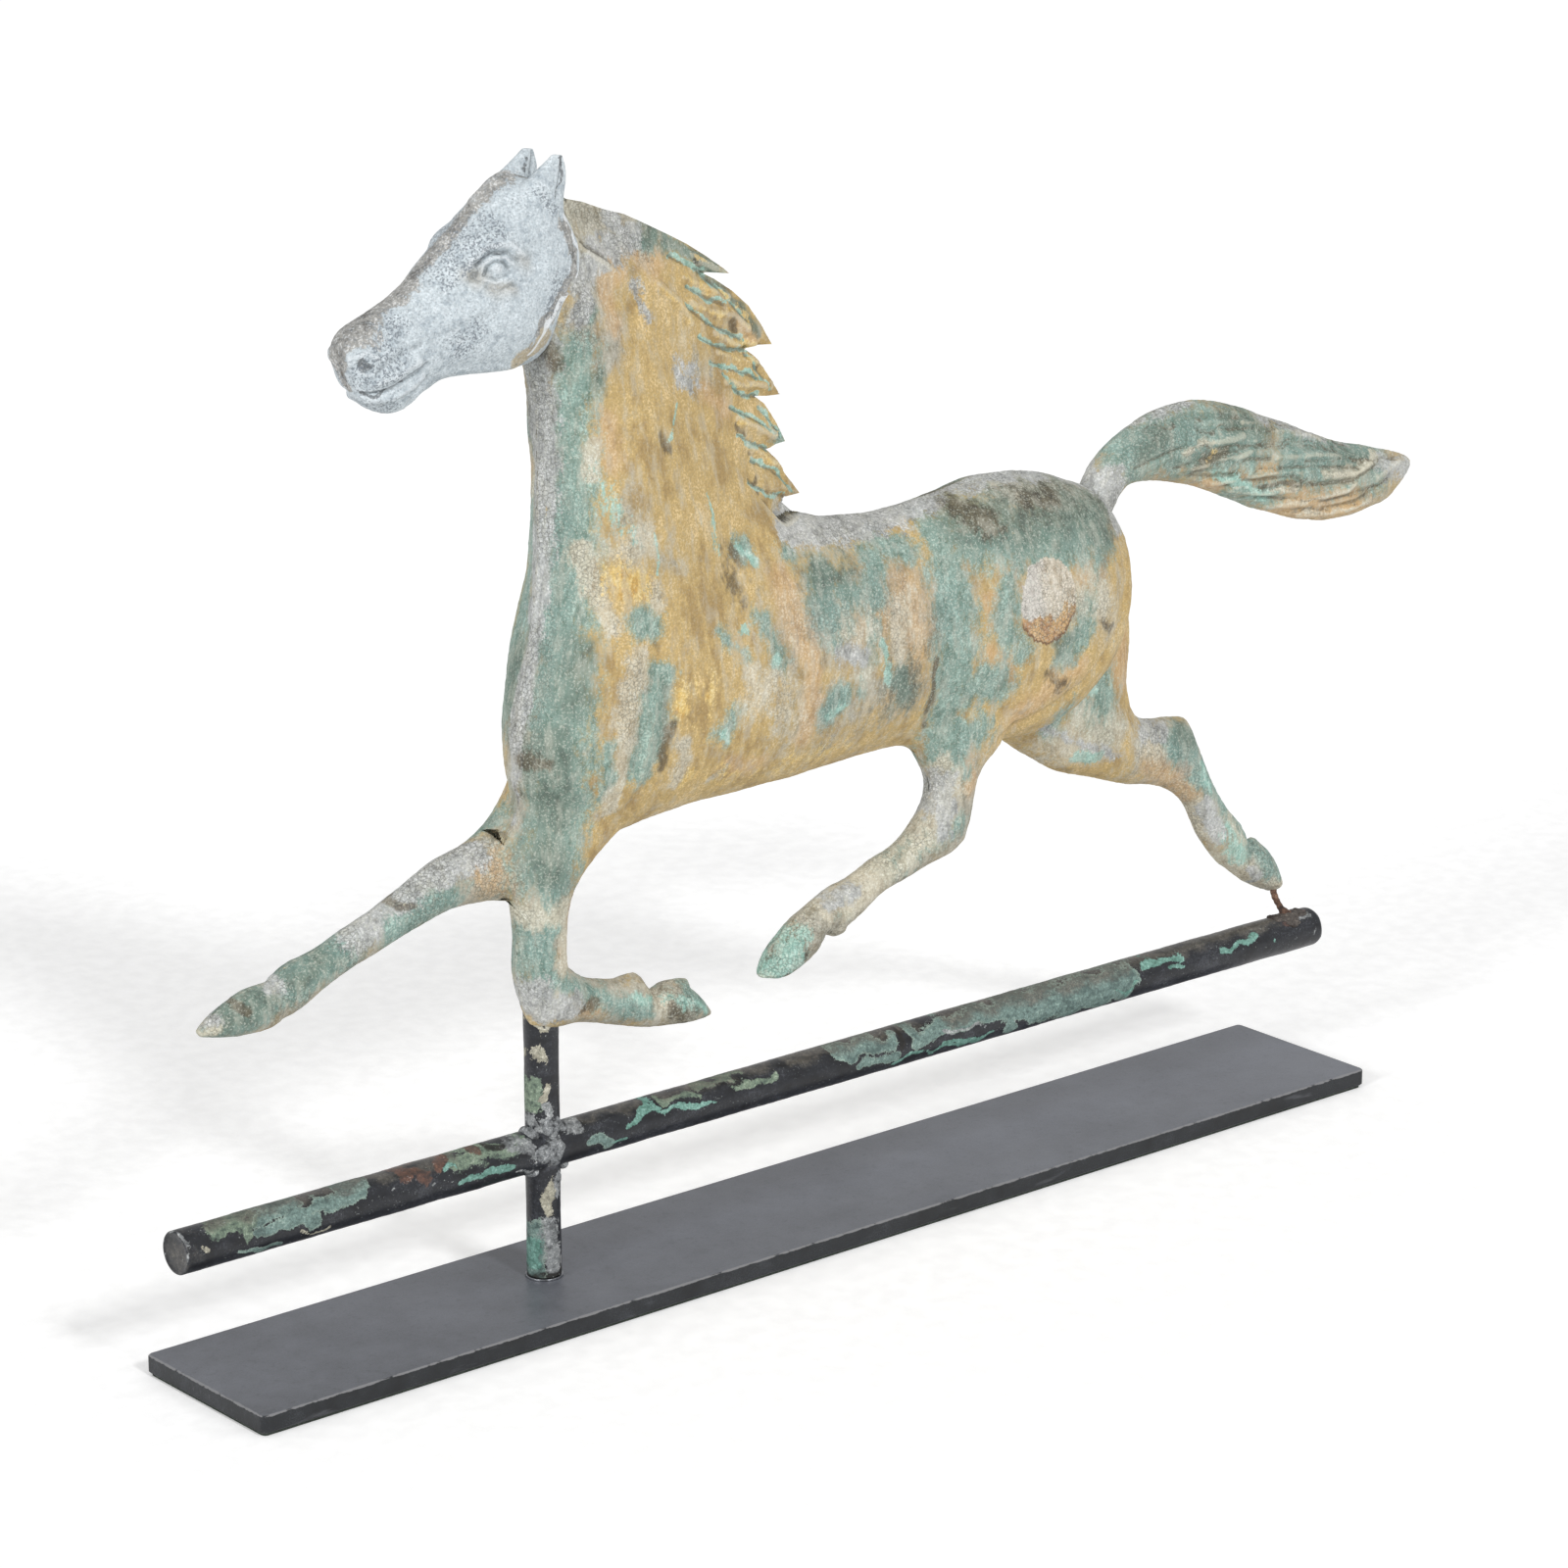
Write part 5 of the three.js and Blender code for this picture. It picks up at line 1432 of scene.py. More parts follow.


# Flakes of old paint on the pipes, drawn like the horse's coats, and a painted sheen along the bar's top.
pipeFlakes = {
    # weathered: a painted sheen with dust along the bar's top, a tan coat from x 272 to 405, and a paler
    # wash on the front disc
    "weathered": [
        (2.4, 0.8, [(-205, 92), (-60, 92)]),
        (2.0, 0.7, [(20, 92), (150, 92)]),
        (2.6, 0.8, [(160, 92), (250, 92)]),
        (4.0, 1.0, [(272, 92), (330, 92), (405, 91)]),
        (2.6, 0.8, [(405, 92), (525, 92)]),
        (9, 0.62, [(-224, -1, 81)]),
    ],
    "teal": [
        (2.8, 1.0, [(-180, 89), (-168, 91), (-155, 92)]),
        (3.2, 1.0, [(-162, 87), (-151, 87), (-136, 88), (-119, 88)]),
        (2.6, 1.0, [(-182, 84), (-171, 84), (-162, 86)]),
        (3.0, 1.0, [(-154, 85), (-151, 80), (-148, 81)]),
        (2.2, 1.0, [(-131, 91), (-113, 91)]),
        (1.3, 0.9, [(-193, 77), (-182, 76), (-168, 74)]),
        (3.6, 1.0, [(192, 90), (210, 88), (230, 88)]),
        (2.6, 1.0, [(206, 81), (219, 80), (231, 81)]),
        (4.2, 1.0, [(245, 89), (256, 86), (268, 88), (294, 89)]),
        (2.8, 1.0, [(244, 82), (253, 84), (263, 85)]),
        (7, 1.0, [(312, 88), (350, 86), (404, 86)]),
        (2.8, 1.0, [(274, 88), (289, 88), (307, 88)]),
        (4.0, 1.0, [(318, 84), (332, 80), (349, 79), (380, 77), (402, 79)]),
        (2.4, 1.0, [(311, 87), (313, 80), (316, 75)]),
        (2.8, 1.0, [(24, 82), (32, 81), (35, 77)]),
        (4.6, 1.0, [(-9, 40), (-8.6, 25), (-8.4, 14)]),
    ],
    "green": [
        (3.8, 1.0, [(-204, 89), (-193, 90), (-184, 90), (-188, 86)]),
        (4.0, 0.9, [(-62, 89), (-45, 90), (-30, 88), (-18, 89)]),
        (2.4, 0.9, [(-3, 42), (2, 38)]),
        (1.3, 0.95, [(73, 90), (85, 90), (96, 89)]),
        (1.3, 0.95, [(97, 92), (113, 92), (131, 91)]),
        (1.3, 0.95, [(118, 89), (132, 86), (147, 87)]),
        (3.0, 1.0, [(-8, 119), (-7.3, 110), (-6.6, 105)]),
    ],
    "cream": [
        (2.3, 1.0, [(-7.7, 133), (-5.5, 135), (-3.7, 132)]),
        (1.5, 1.0, [(-8.9, 150), (-5.4, 148), (1.5, 151)]),
        (0.9, 0.5, [(-5.4, 144), (-4.6, 140)]),
        (1.6, 1.0, [(-1.8, 116), (-4, 109)]),
        (2.2, 1.0, [(-1.2, 66), (-1.5, 58), (-4, 54), (-3.7, 48)]),
        (1.1, 0.9, [(-216, 85), (-211, 84)]),
        (0.9, 0.9, [(-158, 80), (-152, 74), (-142, 74), (-140, 76)]),
    ],
    "peach": [
        (3.0, 0.95, [(-94, 90), (-84, 90), (-79, 87)]),
        (1.8, 0.95, [(-73, 90), (-64, 91)]),
        (1.3, 1.0, [(-49, 91), (-45, 90)]),
        (2.6, 0.62, [(531, 92), (549, 92)]),
    ],
    "grey": [
        (2.6, 1.0, [(-3, 106), (-2, 97), (0.5, 91)]),
        (5, 1.0, [(-2, 40), (0, 28), (0, 15)]),
        (3.4, 0.8, [(-26, 90), (-19, 88), (-12, 84)]),
        (3.0, 0.85, [(10, 92), (18, 90)]),
        (3.6, 0.8, [(-9, 98), (-1, 96), (8, 93)]),
        (1.6, 0.8, [(-24, 76), (-12, 74)]),
        (3.2, 0.9, [(4, 66), (2, 60)]),
        (1.2, 0.9, [(265, 85), (279, 85), (297, 83)]),
        (2.0, 0.62, [(539, 90), (551, 90)]),
        (1.4, 0.62, [(553, 84), (551, 78)]),
        (0.9, 1.0, [(-75, 83)]),
        (0.9, 1.0, [(-87, 81)]),
        (0.9, 1.0, [(-101, 85)]),
        (0.7, 0.9, [(-224, 0, 91.8), (-224, -5.4, 90.3), (-224, -9.3, 86.4), (-224, -10.8, 81),
                    (-224, -9.3, 75.6), (-224, -5.4, 71.7), (-224, 0, 70.2)]),
    ],
    "turquoise": [
        (1.5, 1.0, [(-60, 81), (-49, 82), (-38, 81), (-26, 80)]),
        (1.0, 0.95, [(-69, 88), (-61, 88)]),
        (1.3, 1.0, [(46, 83), (54, 86), (59, 89), (67, 90)]),
        (1.3, 1.0, [(58, 88), (73, 87), (88, 85), (106, 84)]),
        (1.1, 1.0, [(37, 77), (47, 77)]),
        (0.9, 0.9, [(230, 77), (243, 78), (267, 76), (293, 75)]),
        (1.3, 0.9, [(266, 78), (283, 77), (301, 76)]),
        (1.0, 0.9, [(392, 82), (403, 78), (409, 82)]),
        (1.5, 1.0, [(416, 89), (429, 89), (447, 89)]),
        (1.1, 1.0, [(433, 84), (446, 84)]),
        (1.5, 1.0, [(477, 87), (483, 84), (498, 87), (507, 89)]),
        (1.0, 1.0, [(518, 82)]),
        (1.0, 1.0, [(492, 77)]),
        (3.0, 0.9, [(-9, 32), (-8.6, 20)]),
    ],
    "dark": [
        (2.0, 1.0, [(-9, 13), (9, 13)]),
        (1.8, 0.9, [(-39, 90), (-28, 90)]),
        (1.5, 1.0, [(236, 93), (235, 84)]),
    ],
}


# Materials. An output of a node, which can be added and multiplied like a number.
class Value:
    def __init__(self, socket):
        self.socket = socket
        self.tree = socket.id_data

    def __add__(self, other):
        return reckon("ADD", self, other)

    def __sub__(self, other):
        return reckon("SUBTRACT", self, other)

    def __rsub__(self, other):
        return reckon("SUBTRACT", other, self)

    def __mul__(self, other):
        return reckon("MULTIPLY", self, other)


def join(value, socket):
    value.tree.links.new(value.socket, socket)


def tint(red, green, blue):
    linear = [((value / 255 + 0.055) / 1.055) ** 2.4 for value in (red, green, blue)]
    return (*linear, 1.0)


# Adds a node and returns the wanted output of it, or a list of all.
def addNode(tree, kind, inputs, wanted=0, **settings):
    node = tree.nodes.new(kind)
    for key, value in settings.items():
        setattr(node, key, value)
    for key, value in inputs.items():
        if isinstance(value, Value):
            join(value, node.inputs[key])
        else:
            node.inputs[key].default_value = value
    if wanted == "all":
        return [Value(socket) for socket in node.outputs]
    return Value(node.outputs[wanted])


def treeOf(*items):
    return next(item.tree for item in items if isinstance(item, Value))


def reckon(operation, first, second=0.5, clamp=False):
    return addNode(treeOf(first, second), "ShaderNodeMath", {0: first, 1: second},
                   operation=operation, use_clamp=clamp)


def highest(first, *others):
    for other in others:
        first = reckon("MAXIMUM", first, other)
    return first


# A smooth step from 0 to 1 as the value goes from low to high.
def rise(value, low, high):
    return addNode(value.tree, "ShaderNodeMapRange",
                   {"Value": value, "From Min": low, "From Max": high}, "Result",
                   interpolation_type="SMOOTHSTEP")


def stir(first, second, amount, kind="MIX"):
    return addNode(treeOf(first, second, amount), "ShaderNodeMix",
                   {0: amount, 6: first, 7: second}, 2, data_type="RGBA", blend_type=kind)


# Lays one tone thinly over a shade, where the mask says.
def touch(shade, layer, mask):
    tone, share = layer
    return stir(shade, tint(*tone), mask * share)


# Three random numbers for each place on the surface.
def noiseParts(source, scale, detail, roughness):
    noise = addNode(source.tree, "ShaderNodeTexNoise",
                    {"Vector": source, "Scale": scale, "Detail": detail, "Roughness": roughness}, "Color")
    return addNode(source.tree, "ShaderNodeSeparateColor", {"Color": noise}, "all")


def stretched(place, scale):
    return addNode(place.tree, "ShaderNodeMapping", {"Vector": place, "Scale": scale})


# Kinds of socket, by how many numbers a value of it has.
socketKinds = {1: "NodeSocketFloat", 3: "NodeSocketVector", 4: "NodeSocketColor"}


# A node group with named inputs and one output, which `work` reckons from them.
def newGroup(name, inputs, output, size, work):
    group = bpy.data.node_groups.new(name, "ShaderNodeTree")
    for label, value in inputs.items():
        kind = socketKinds[np.size(value)]
        socket = group.interface.new_socket(name=label, in_out="INPUT", socket_type=kind)
        socket.default_value = value
    group.interface.new_socket(name=output, in_out="OUTPUT", socket_type=socketKinds[size])
    start, end = group.nodes.new("NodeGroupInput"), group.nodes.new("NodeGroupOutput")
    given = {label: Value(start.outputs[label]) for label in inputs}
    join(work(given), end.inputs[output])
    return group


# Ragged edge of a coat: its painted amount, broken up by random fields.
def brokenMask(given):
    total = given["Amount"] + given["Spread"]
    for field, share in (("Wide", 0.35), ("Middle", 0.75), ("Small", 0.6), ("Grain", 0.5)):
        total = total + (given[field] - 0.5) * share * given["Ragged"]
    return rise(total, 0.5 - given["Soft"], given["Soft"] + 0.5) * given["Most"]


# Colour of one coat: three tones in blots, with a fine grain.
def mottledColour(given):
    blot = given["Middle"] + given["Small"]
    mixed = stir(given["Dark"], given["Main"], rise(blot, 0.78, 1.02))
    mixed = stir(mixed, given["Light"], rise(blot + given["Grain"], 1.52, 1.86))
    return stir(mixed, rise(given["Grain"], 0.3, 0.7) * 0.3 + 0.85, 1.0, "MULTIPLY")


# Net of fine cracks, 1 on a crack and 0 between.
def crackNet(given):
    place = given["Vector"]
    bend = addNode(place.tree, "ShaderNodeTexNoise",
                   {"Vector": place, "Scale": 700.0, "Detail": 2.0}, "Color")
    shift = addNode(place.tree, "ShaderNodeVectorMath", {0: bend, 1: (0.0016,) * 3},
                    operation="MULTIPLY")
    moved = addNode(place.tree, "ShaderNodeVectorMath", {0: place, 1: shift}, operation="ADD")
    away = addNode(place.tree, "ShaderNodeTexVoronoi", {"Vector": moved, "Scale": given["Scale"]},
                   "Distance", feature="DISTANCE_TO_EDGE")
    return 1.0 - rise(away, 0.0, given["Width"])


brokenCoat = newGroup(
    "brokenCoat",
    {"Amount": 0, "Wide": 0.5, "Middle": 0.5, "Small": 0.5, "Grain": 0.5, "Ragged": 1, "Spread": 0,
     "Soft": 0.1, "Most": 1},
    "Mask", 1, brokenMask)
mottle = newGroup(
    "mottle",
    {"Light": (1, 1, 1, 1), "Main": (0.5, 0.5, 0.5, 1), "Dark": (0.1, 0.1, 0.1, 1), "Middle": 0.5,
     "Small": 0.5, "Grain": 0.5},
    "Color", 4, mottledColour)
crackle = newGroup(
    "crackle", {"Vector": (0, 0, 0), "Scale": 500, "Width": 0.06}, "Cracks", 1, crackNet)


# Four random fields of falling size, wide, middle, small and grain, each with three numbers.
def makeFields(place, sizes, stretches=(None,) * 4):
    fields = []
    for size, stretch in zip(sizes, stretches):
        source = stretched(place, stretch) if stretch else place
        fields.append(noiseParts(source, 1000 / size, 4.0, 0.6))
    return fields


# Three tones in blots, as the given random numbers have it.
def blots(tones, middle, small, grain):
    light, main, dark = [tint(*tone) for tone in tones]
    return addNode(middle.tree, "ShaderNodeGroup", {
        "Light": light, "Main": main, "Dark": dark, "Middle": middle, "Small": small,
        "Grain": grain}, node_tree=mottle)


# Where a coat lies. Its order picks the numbers of the fields that break up its edge.
def coatMask(fields, amount, order, ragged=1.0, spread=0.0, soft=0.1, most=1.0):
    wide, middle, small, grain = fields
    one, two, three = order % 3, (order + 1) % 3, (order + 2) % 3
    return addNode(amount.tree, "ShaderNodeGroup", {
        "Amount": amount, "Wide": wide[one], "Middle": middle[two], "Small": small[three],
        "Grain": grain[one], "Ragged": ragged, "Spread": spread, "Soft": soft,
        "Most": most}, node_tree=brokenCoat)


def cracksOver(place, scale, width):
    return addNode(place.tree, "ShaderNodeGroup", {"Vector": place, "Scale": scale, "Width": width},
                   node_tree=crackle)


def newMaterial(name):
    material = bpy.data.materials.new(name)
    material.use_nodes = True
    tree = material.node_tree
    place = addNode(tree, "ShaderNodeTexCoord", {}, "Object")
    return material, tree.nodes["Principled BSDF"], place


# Joins the finished values to the shader. The relief is its strength and its depth in mm.
def joinShader(shader, shade, rough, height, relief):
    strength, depth = relief
    bump = addNode(shade.tree, "ShaderNodeBump",
                   {"Height": height, "Strength": strength, "Distance": depth * mm})
    for name, value in (("Base Color", shade), ("Roughness", rough), ("Normal", bump)):
        join(value, shader.inputs[name])


def readLayer(tree, name):
    layer = addNode(tree, "ShaderNodeAttribute", {}, "Color", attribute_name=name)
    return addNode(tree, "ShaderNodeSeparateColor", {"Color": layer}, "all")


def readCoats(tree):
    amounts = {}
    for start in range(0, len(coats), 3):
        amounts.update(zip(coats[start : start + 3], readLayer(tree, f"coat{start // 3}")))
    return amounts


# The hollows and the ridges kept with a form, their edges broken up by the small field.
def readDirtWearAndShading(small):
    hollow, ridge, _ = readLayer(small[2].tree, "dirtWearAndShading")
    swing = (small[2] - 0.5) * 0.7
    return rise(hollow + swing, 0.18, 0.75), rise(ridge - swing, 0.25, 0.85)


# Lays the coats over a ground: returns the colour, the height of the paint and the coats' masks.
def layCoats(fields, ground, looks, amounts):
    _, middle, small, grain = fields
    shade, height, masks = ground, None, {}
    for order, (coat, tones, ragged, spread, soft, thick, most) in enumerate(looks):
        one, two, three = order % 3, (order + 1) % 3, (order + 2) % 3
        mask = coatMask(fields, amounts[coat], order, ragged, spread, soft, most)
        shade = stir(shade, blots(tones, middle[three], small[one], grain[two]), mask)
        height = mask * thick if height is None else height + mask * thick
        masks[coat] = mask
    return shade, height, masks


patinaLook = {
    "sizes": (34, 9, 2.8, 1.2),
    "stretches": [(1.2, 1.2, 0.7), (1.4, 1.4, 0.55), (1.15, 1.15, 0.6), None],
    "ground": [(222, 196, 146), (197, 170, 114), (170, 143, 94)],
    # each coat's light, main and dark tone, raggedness, spread, softness, thickness and most cover
    "coats": [
        ("weathered", [(206, 204, 194), (176, 174, 162), (140, 138, 126)], 1.1, 0.0, 0.32, 0.2, 0.88),
        ("peach", [(230, 204, 166), (211, 177, 132), (188, 152, 108)], 1.1, 0.06, 0.28, 0.1, 0.74),
        ("teal", [(168, 196, 186), (130, 160, 152), (98, 130, 122)], 1.2, 0.05, 0.24, 0.3, 0.93),
        ("green", [(132, 150, 138), (104, 122, 110), (80, 92, 82)], 1.1, -0.02, 0.32, 0.1, 0.85),
        ("cream", [(230, 224, 208), (212, 204, 182), (182, 172, 150)], 1.25, 0.04, 0.24, 0.3, 0.82),
        ("grey", [(218, 219, 218), (186, 188, 187), (148, 150, 150)], 1.0, 0.02, 0.12, 0.5, 0.95),
        ("dark", [(120, 106, 82), (94, 82, 62), (66, 58, 46)], 1.3, 0.0, 0.2, -0.1, 0.8),
        ("turquoise", [(198, 228, 218), (164, 205, 193), (130, 176, 164)], 1.5, 0.02, 0.14, 0.3, 0.9),
        ("bright", [(252, 232, 176), (240, 208, 132), (206, 162, 84)], 1.6, 0.0, 0.14, 0.0, 0.85),
    ],
    # tone and share of the thin layers over the coats
    "veil": ((200, 198, 184), 0.34),
    "drips": ((140, 122, 88), 0.12),
    # hollows: dirt and painted shade; ridges: a paler rubbed tone and a painted highlight
    "hollows": ((96, 88, 70), 0.6),
    "ridges": ((226, 220, 198), 0.38),
    "cracks": ((84, 84, 76), 0.62),
    "salts": ((222, 226, 212), 1.0),
    "pits": ((88, 88, 72), 1.0),
}
# The sanded oval on the near hip: centre and half sizes on the side view.
disc = {
    "centre": (309, 325),
    "half": (20.5, 22.5),
    "low": 317.5,  # below it the filler is ochre
    "filler": [(230, 222, 208), (212, 202, 184), (184, 170, 148)],
    "ochre": [(230, 196, 142), (208, 164, 104), (176, 126, 74)],
    "front": ((216, 218, 222), 0.4),
    "rim": ((112, 78, 54), 0.85),
}


# An oval patch of bare filler, whiter in front, ochre below, with a broken dark rim there.
def layDisc(shade, place, fields):
    _, middle, small, grain = fields
    x, y, z = addNode(place.tree, "ShaderNodeSeparateXYZ", {"Vector": place}, "all")
    (middleX, middleZ), (halfX, halfZ) = disc["centre"], disc["half"]
    reachX = (x - middleX * mm) * (1 / (halfX * mm))
    reachZ = (z - middleZ * mm) * (1 / (halfZ * mm))
    total = reachX * reachX + reachZ * reachZ + (middle[0] - 0.5) * 0.5 + (small[0] - 0.5) * 0.45
    near = rise(y, -0.012, -0.02)
    inside = rise(total, 1.03, 0.97) * near
    paint = blots(disc["filler"], middle[1], small[2], grain[0])
    paint = touch(paint, disc["front"], rise(reachX + middle[2], 0.6, 0.05))
    low = rise(z + (middle[0] - 0.5) * 0.03, (disc["low"] + 1) * mm, (disc["low"] - 1) * mm)
    paint = stir(paint, blots(disc["ochre"], middle[2], small[1], grain[1]), low * 0.85)
    shade = stir(shade, paint, inside)
    rim = rise(total, 0.90, 0.99) * rise(total, 1.12, 1.03) * near
    rim = rim * rise(z, (disc["low"] + 2) * mm, (disc["low"] - 5) * mm)
    return touch(shade, disc["rim"], rim), inside


def makePatina():
    look = patinaLook
    material, shader, place = newMaterial("patinaCopper")
    fields = wide, middle, small, grain = makeFields(place, look["sizes"], look["stretches"])
    ground = blots(look["ground"], wide[1], middle[0], grain[0])
    shade, height, masks = layCoats(fields, ground, look["coats"], readCoats(place.tree))
    streak = noiseParts(stretched(place, (1.0, 1.0, 0.16)), 210.0, 5.0, 0.65)
    shade = touch(shade, look["veil"], rise(middle[2] + streak[0], 0.96, 1.24))
    shade = touch(shade, look["drips"], rise(streak[1], 0.56, 0.72))
    # dirt and painted shade darken the hollows, rubbing and a painted highlight lighten the ridges
    deep, high = readDirtWearAndShading(small)
    shade = touch(shade, look["hollows"], deep)
    shade = touch(shade, look["ridges"], high)
    shade, onDisc = layDisc(shade, place, fields)
    crusty = highest(masks["weathered"], masks["cream"], masks["grey"], onDisc)
    cracks = cracksOver(place, 430.0, 0.13) * crusty * rise(wide[2], 0.42, 0.6)
    shade = touch(shade, look["cracks"], cracks)
    # pale salts on the painted parts, few on the gold, and dark pits everywhere
    salty = highest(masks["teal"], crusty) * 0.26 + 0.13
    shade = touch(shade, look["salts"], rise(grain[2], 0.54, 0.62) * salty)
    shade = touch(shade, look["pits"], rise(grain[1], 0.57, 0.66) * salty)
    join(masks["bright"] * 0.55, shader.inputs["Metallic"])
    rough = 0.74 - masks["bright"] * 0.34 - middle[1] * 0.14
    height = height + grain[0] * 0.5 + small[1] * 0.6 + onDisc * 0.5 - cracks * 0.6
    joinShader(shader, shade, rough, height, (0.55, 0.5))
    return material


headLook = {
    "sizes": (30, 9, 2.8, 1.2),
    "paint": [(214, 223, 228), (198, 208, 213), (172, 183, 190)],
    "bare": [(204, 203, 199), (160, 159, 155), (112, 111, 108)],
    "throat": [(210, 198, 172), (182, 170, 146), (126, 118, 102)],
    # socket: tan round the eye, dirt and painted shade; hollows: dirt and painted shade
    "socket": ((172, 158, 134), 0.5),
    "hollows": ((112, 118, 120), 0.46),
    # ridges: rubbing and a painted highlight
    "ridges": ((232, 237, 240), 0.4),
    # dark: painted shade in the nostril, along the mouth and in the creases
    "dark": ((84, 86, 88), 0.8),
    "rim": ((236, 240, 242), 0.85),
    "gold": ((206, 168, 92), 1.0),
    "specks": ((122, 130, 138), 1.0),
    "flecks": ((226, 231, 234), 0.4),
}


def makeZinc():
    look = headLook
    material, shader, place = newMaterial("paintedZinc")
    fields = _, middle, small, grain = makeFields(place, look["sizes"])
    amounts = readCoats(place.tree)
    bare = coatMask(fields, amounts["grey"], 0, 1.2, 0.02, 0.08)
    throat = coatMask(fields, amounts["cream"], 1)
    dark = coatMask(fields, amounts["dark"], 2, 1.6)
    shade = blots(look["paint"], middle[0], small[1], grain[0])
    shade = stir(shade, blots(look["bare"], middle[1], small[2], grain[1]), bare)
    shade = stir(shade, blots(look["throat"], middle[2], small[0], grain[2]), throat)
    # dirt and painted shade, in tan, round the eye
    shade = touch(shade, look["socket"], rise(amounts["peach"], 0.1, 0.9))
    # dirt and painted shade in the hollows, rubbing and a painted highlight on the ridges
    deep, high = readDirtWearAndShading(small)
    shade = touch(shade, look["hollows"], deep)
    shade = touch(shade, look["ridges"], high)
    # painted shade in the nostril, along the mouth and in the creases
    shade = touch(shade, look["dark"], dark)
    shade = touch(shade, look["rim"], rise(amounts["weathered"], 0.38, 0.56))
    shade = touch(shade, look["gold"], rise(amounts["bright"], 0.45, 0.55))
    # flakes of paint are gone in some places, and single specks everywhere
    flaky = rise(amounts["green"] + middle[0] * 0.5, 0.5, 0.85)
    specks = rise(grain[2] + flaky * 0.055, 0.565, 0.61) * (flaky * 0.5 + 0.4)
    shade = touch(shade, look["specks"], specks)
    shade = touch(shade, look["flecks"], rise(grain[1], 0.55, 0.62))
    worn = highest(bare, throat)
    rough = worn * 0.12 + 0.6 - middle[1] * 0.1
    height = grain[0] * 0.5 + small[0] * 0.5 - specks * 0.35 - worn * 0.4
    joinShader(shader, shade, rough, height, (0.5, 0.4))
    return material


ironLook = {
    "sizes": (26, 8, 2.8, 1.1),
    "stretches": [None, (0.7, 1.2, 1.4), None, None],
    "ground": [(62, 64, 70), (36, 38, 43), (24, 25, 29)],
    "coats": [
        ("teal", [(150, 174, 164), (118, 142, 136), (86, 106, 102)], 0.9, 0.0, 0.03, 0.9, 0.95),
        ("green", [(172, 186, 164), (130, 148, 128), (88, 104, 92)], 1.4, -0.02, 0.08, 0.6, 0.9),
        # weathered: a painted sheen with dust along the bar's top, tan in one place
        ("weathered", [(128, 122, 112), (98, 94, 87), (72, 69, 64)], 1.1, 0.0, 0.34, 0.1, 0.75),
        ("peach", [(132, 96, 78), (98, 72, 62), (66, 54, 50)], 1.2, 0.0, 0.14, 0.2, 0.9),
        ("grey", [(196, 198, 198), (148, 151, 152), (100, 102, 104)], 1.3, 0.0, 0.06, 0.5, 0.95),
        ("cream", [(206, 202, 186), (176, 172, 154), (142, 138, 124)], 1.4, 0.0, 0.04, 1.0, 0.95),
        ("turquoise", [(150, 194, 182), (116, 160, 148), (84, 126, 114)], 1.5, 0.0, 0.04, 0.9, 0.95),
        ("dark", [(52, 46, 40), (36, 33, 30), (28, 26, 24)], 0.6, 0.0, 0.15, 0.0, 0.95),
    ],
    "rim": ((172, 190, 176), 0.45),
    "cracks": ((52, 62, 58), 0.45),
    "specks": ((176, 182, 180), 0.75),
}


def makeIron():
    look = ironLook
    material, shader, place = newMaterial("flakedIron")
    fields = wide, middle, small, grain = makeFields(place, look["sizes"], look["stretches"])
    ground = blots(look["ground"], wide[1], middle[0], grain[0])
    amounts = readCoats(place.tree)
    shade, height, masks = layCoats(fields, ground, look["coats"], amounts)
    painted = highest(*[masks[coat] for coat in ("teal", "green", "cream", "turquoise", "grey")])
    # a thin pale rim where the flakes end
    flake = coatMask(fields, amounts["teal"], 0, 0.9, -0.09, 0.04)
    rim = reckon("SUBTRACT", masks["teal"], flake, clamp=True)
    shade = touch(shade, look["rim"], rim)
    shade = touch(shade, look["cracks"], cracksOver(place, 300.0, 0.06) * painted)
    specks = rise(grain[1], 0.64, 0.68) * rise(middle[2], 0.46, 0.58)
    shade = touch(shade, look["specks"], specks)
    rough = painted * 0.36 + 0.24 + middle[2] * 0.16
    height = height + grain[0] * 0.25 + small[1] * 0.3
    joinShader(shader, shade, rough, height, (0.6, 0.5))
    return material


# Plain mottled finishes: tones, size of the blots, roughness, metal and depth of the relief.
plainLooks = {
    "solderLump": {"tones": [(204, 207, 208), (134, 137, 139), (62, 64, 66)], "size": 2.4,
                   "rough": (0.45, 0.3), "metallic": 0.35, "relief": 0.5},
    "rustedWire": {"tones": [(142, 112, 92), (96, 70, 56), (58, 44, 38)], "size": 2.2,
                   "rough": (0.7, 0.2), "metallic": 0.0, "relief": 0.5},
    "rustLump": {"tones": [(128, 120, 112), (80, 74, 70), (52, 44, 40)], "size": 4.0,
                 "rough": (0.5, 0.3), "metallic": 0.1, "relief": 0.5},
    "greenFelt": {"tones": [(76, 84, 76), (56, 64, 57), (42, 48, 43)], "size": 1.2,
                  "rough": (0.9, 0.1), "metallic": 0.0, "relief": 0.4},
    "brightSteel": {"tones": [(196, 198, 202), (164, 167, 172), (122, 125, 130)], "size": 5.0,
                    "rough": (0.26, 0.2), "metallic": 1.0, "relief": 0.05},
    "bearingBronze": {"tones": [(206, 166, 104), (176, 134, 76), (134, 98, 54)], "size": 5.0,
                      "rough": (0.3, 0.2), "metallic": 1.0, "relief": 0.05},
}


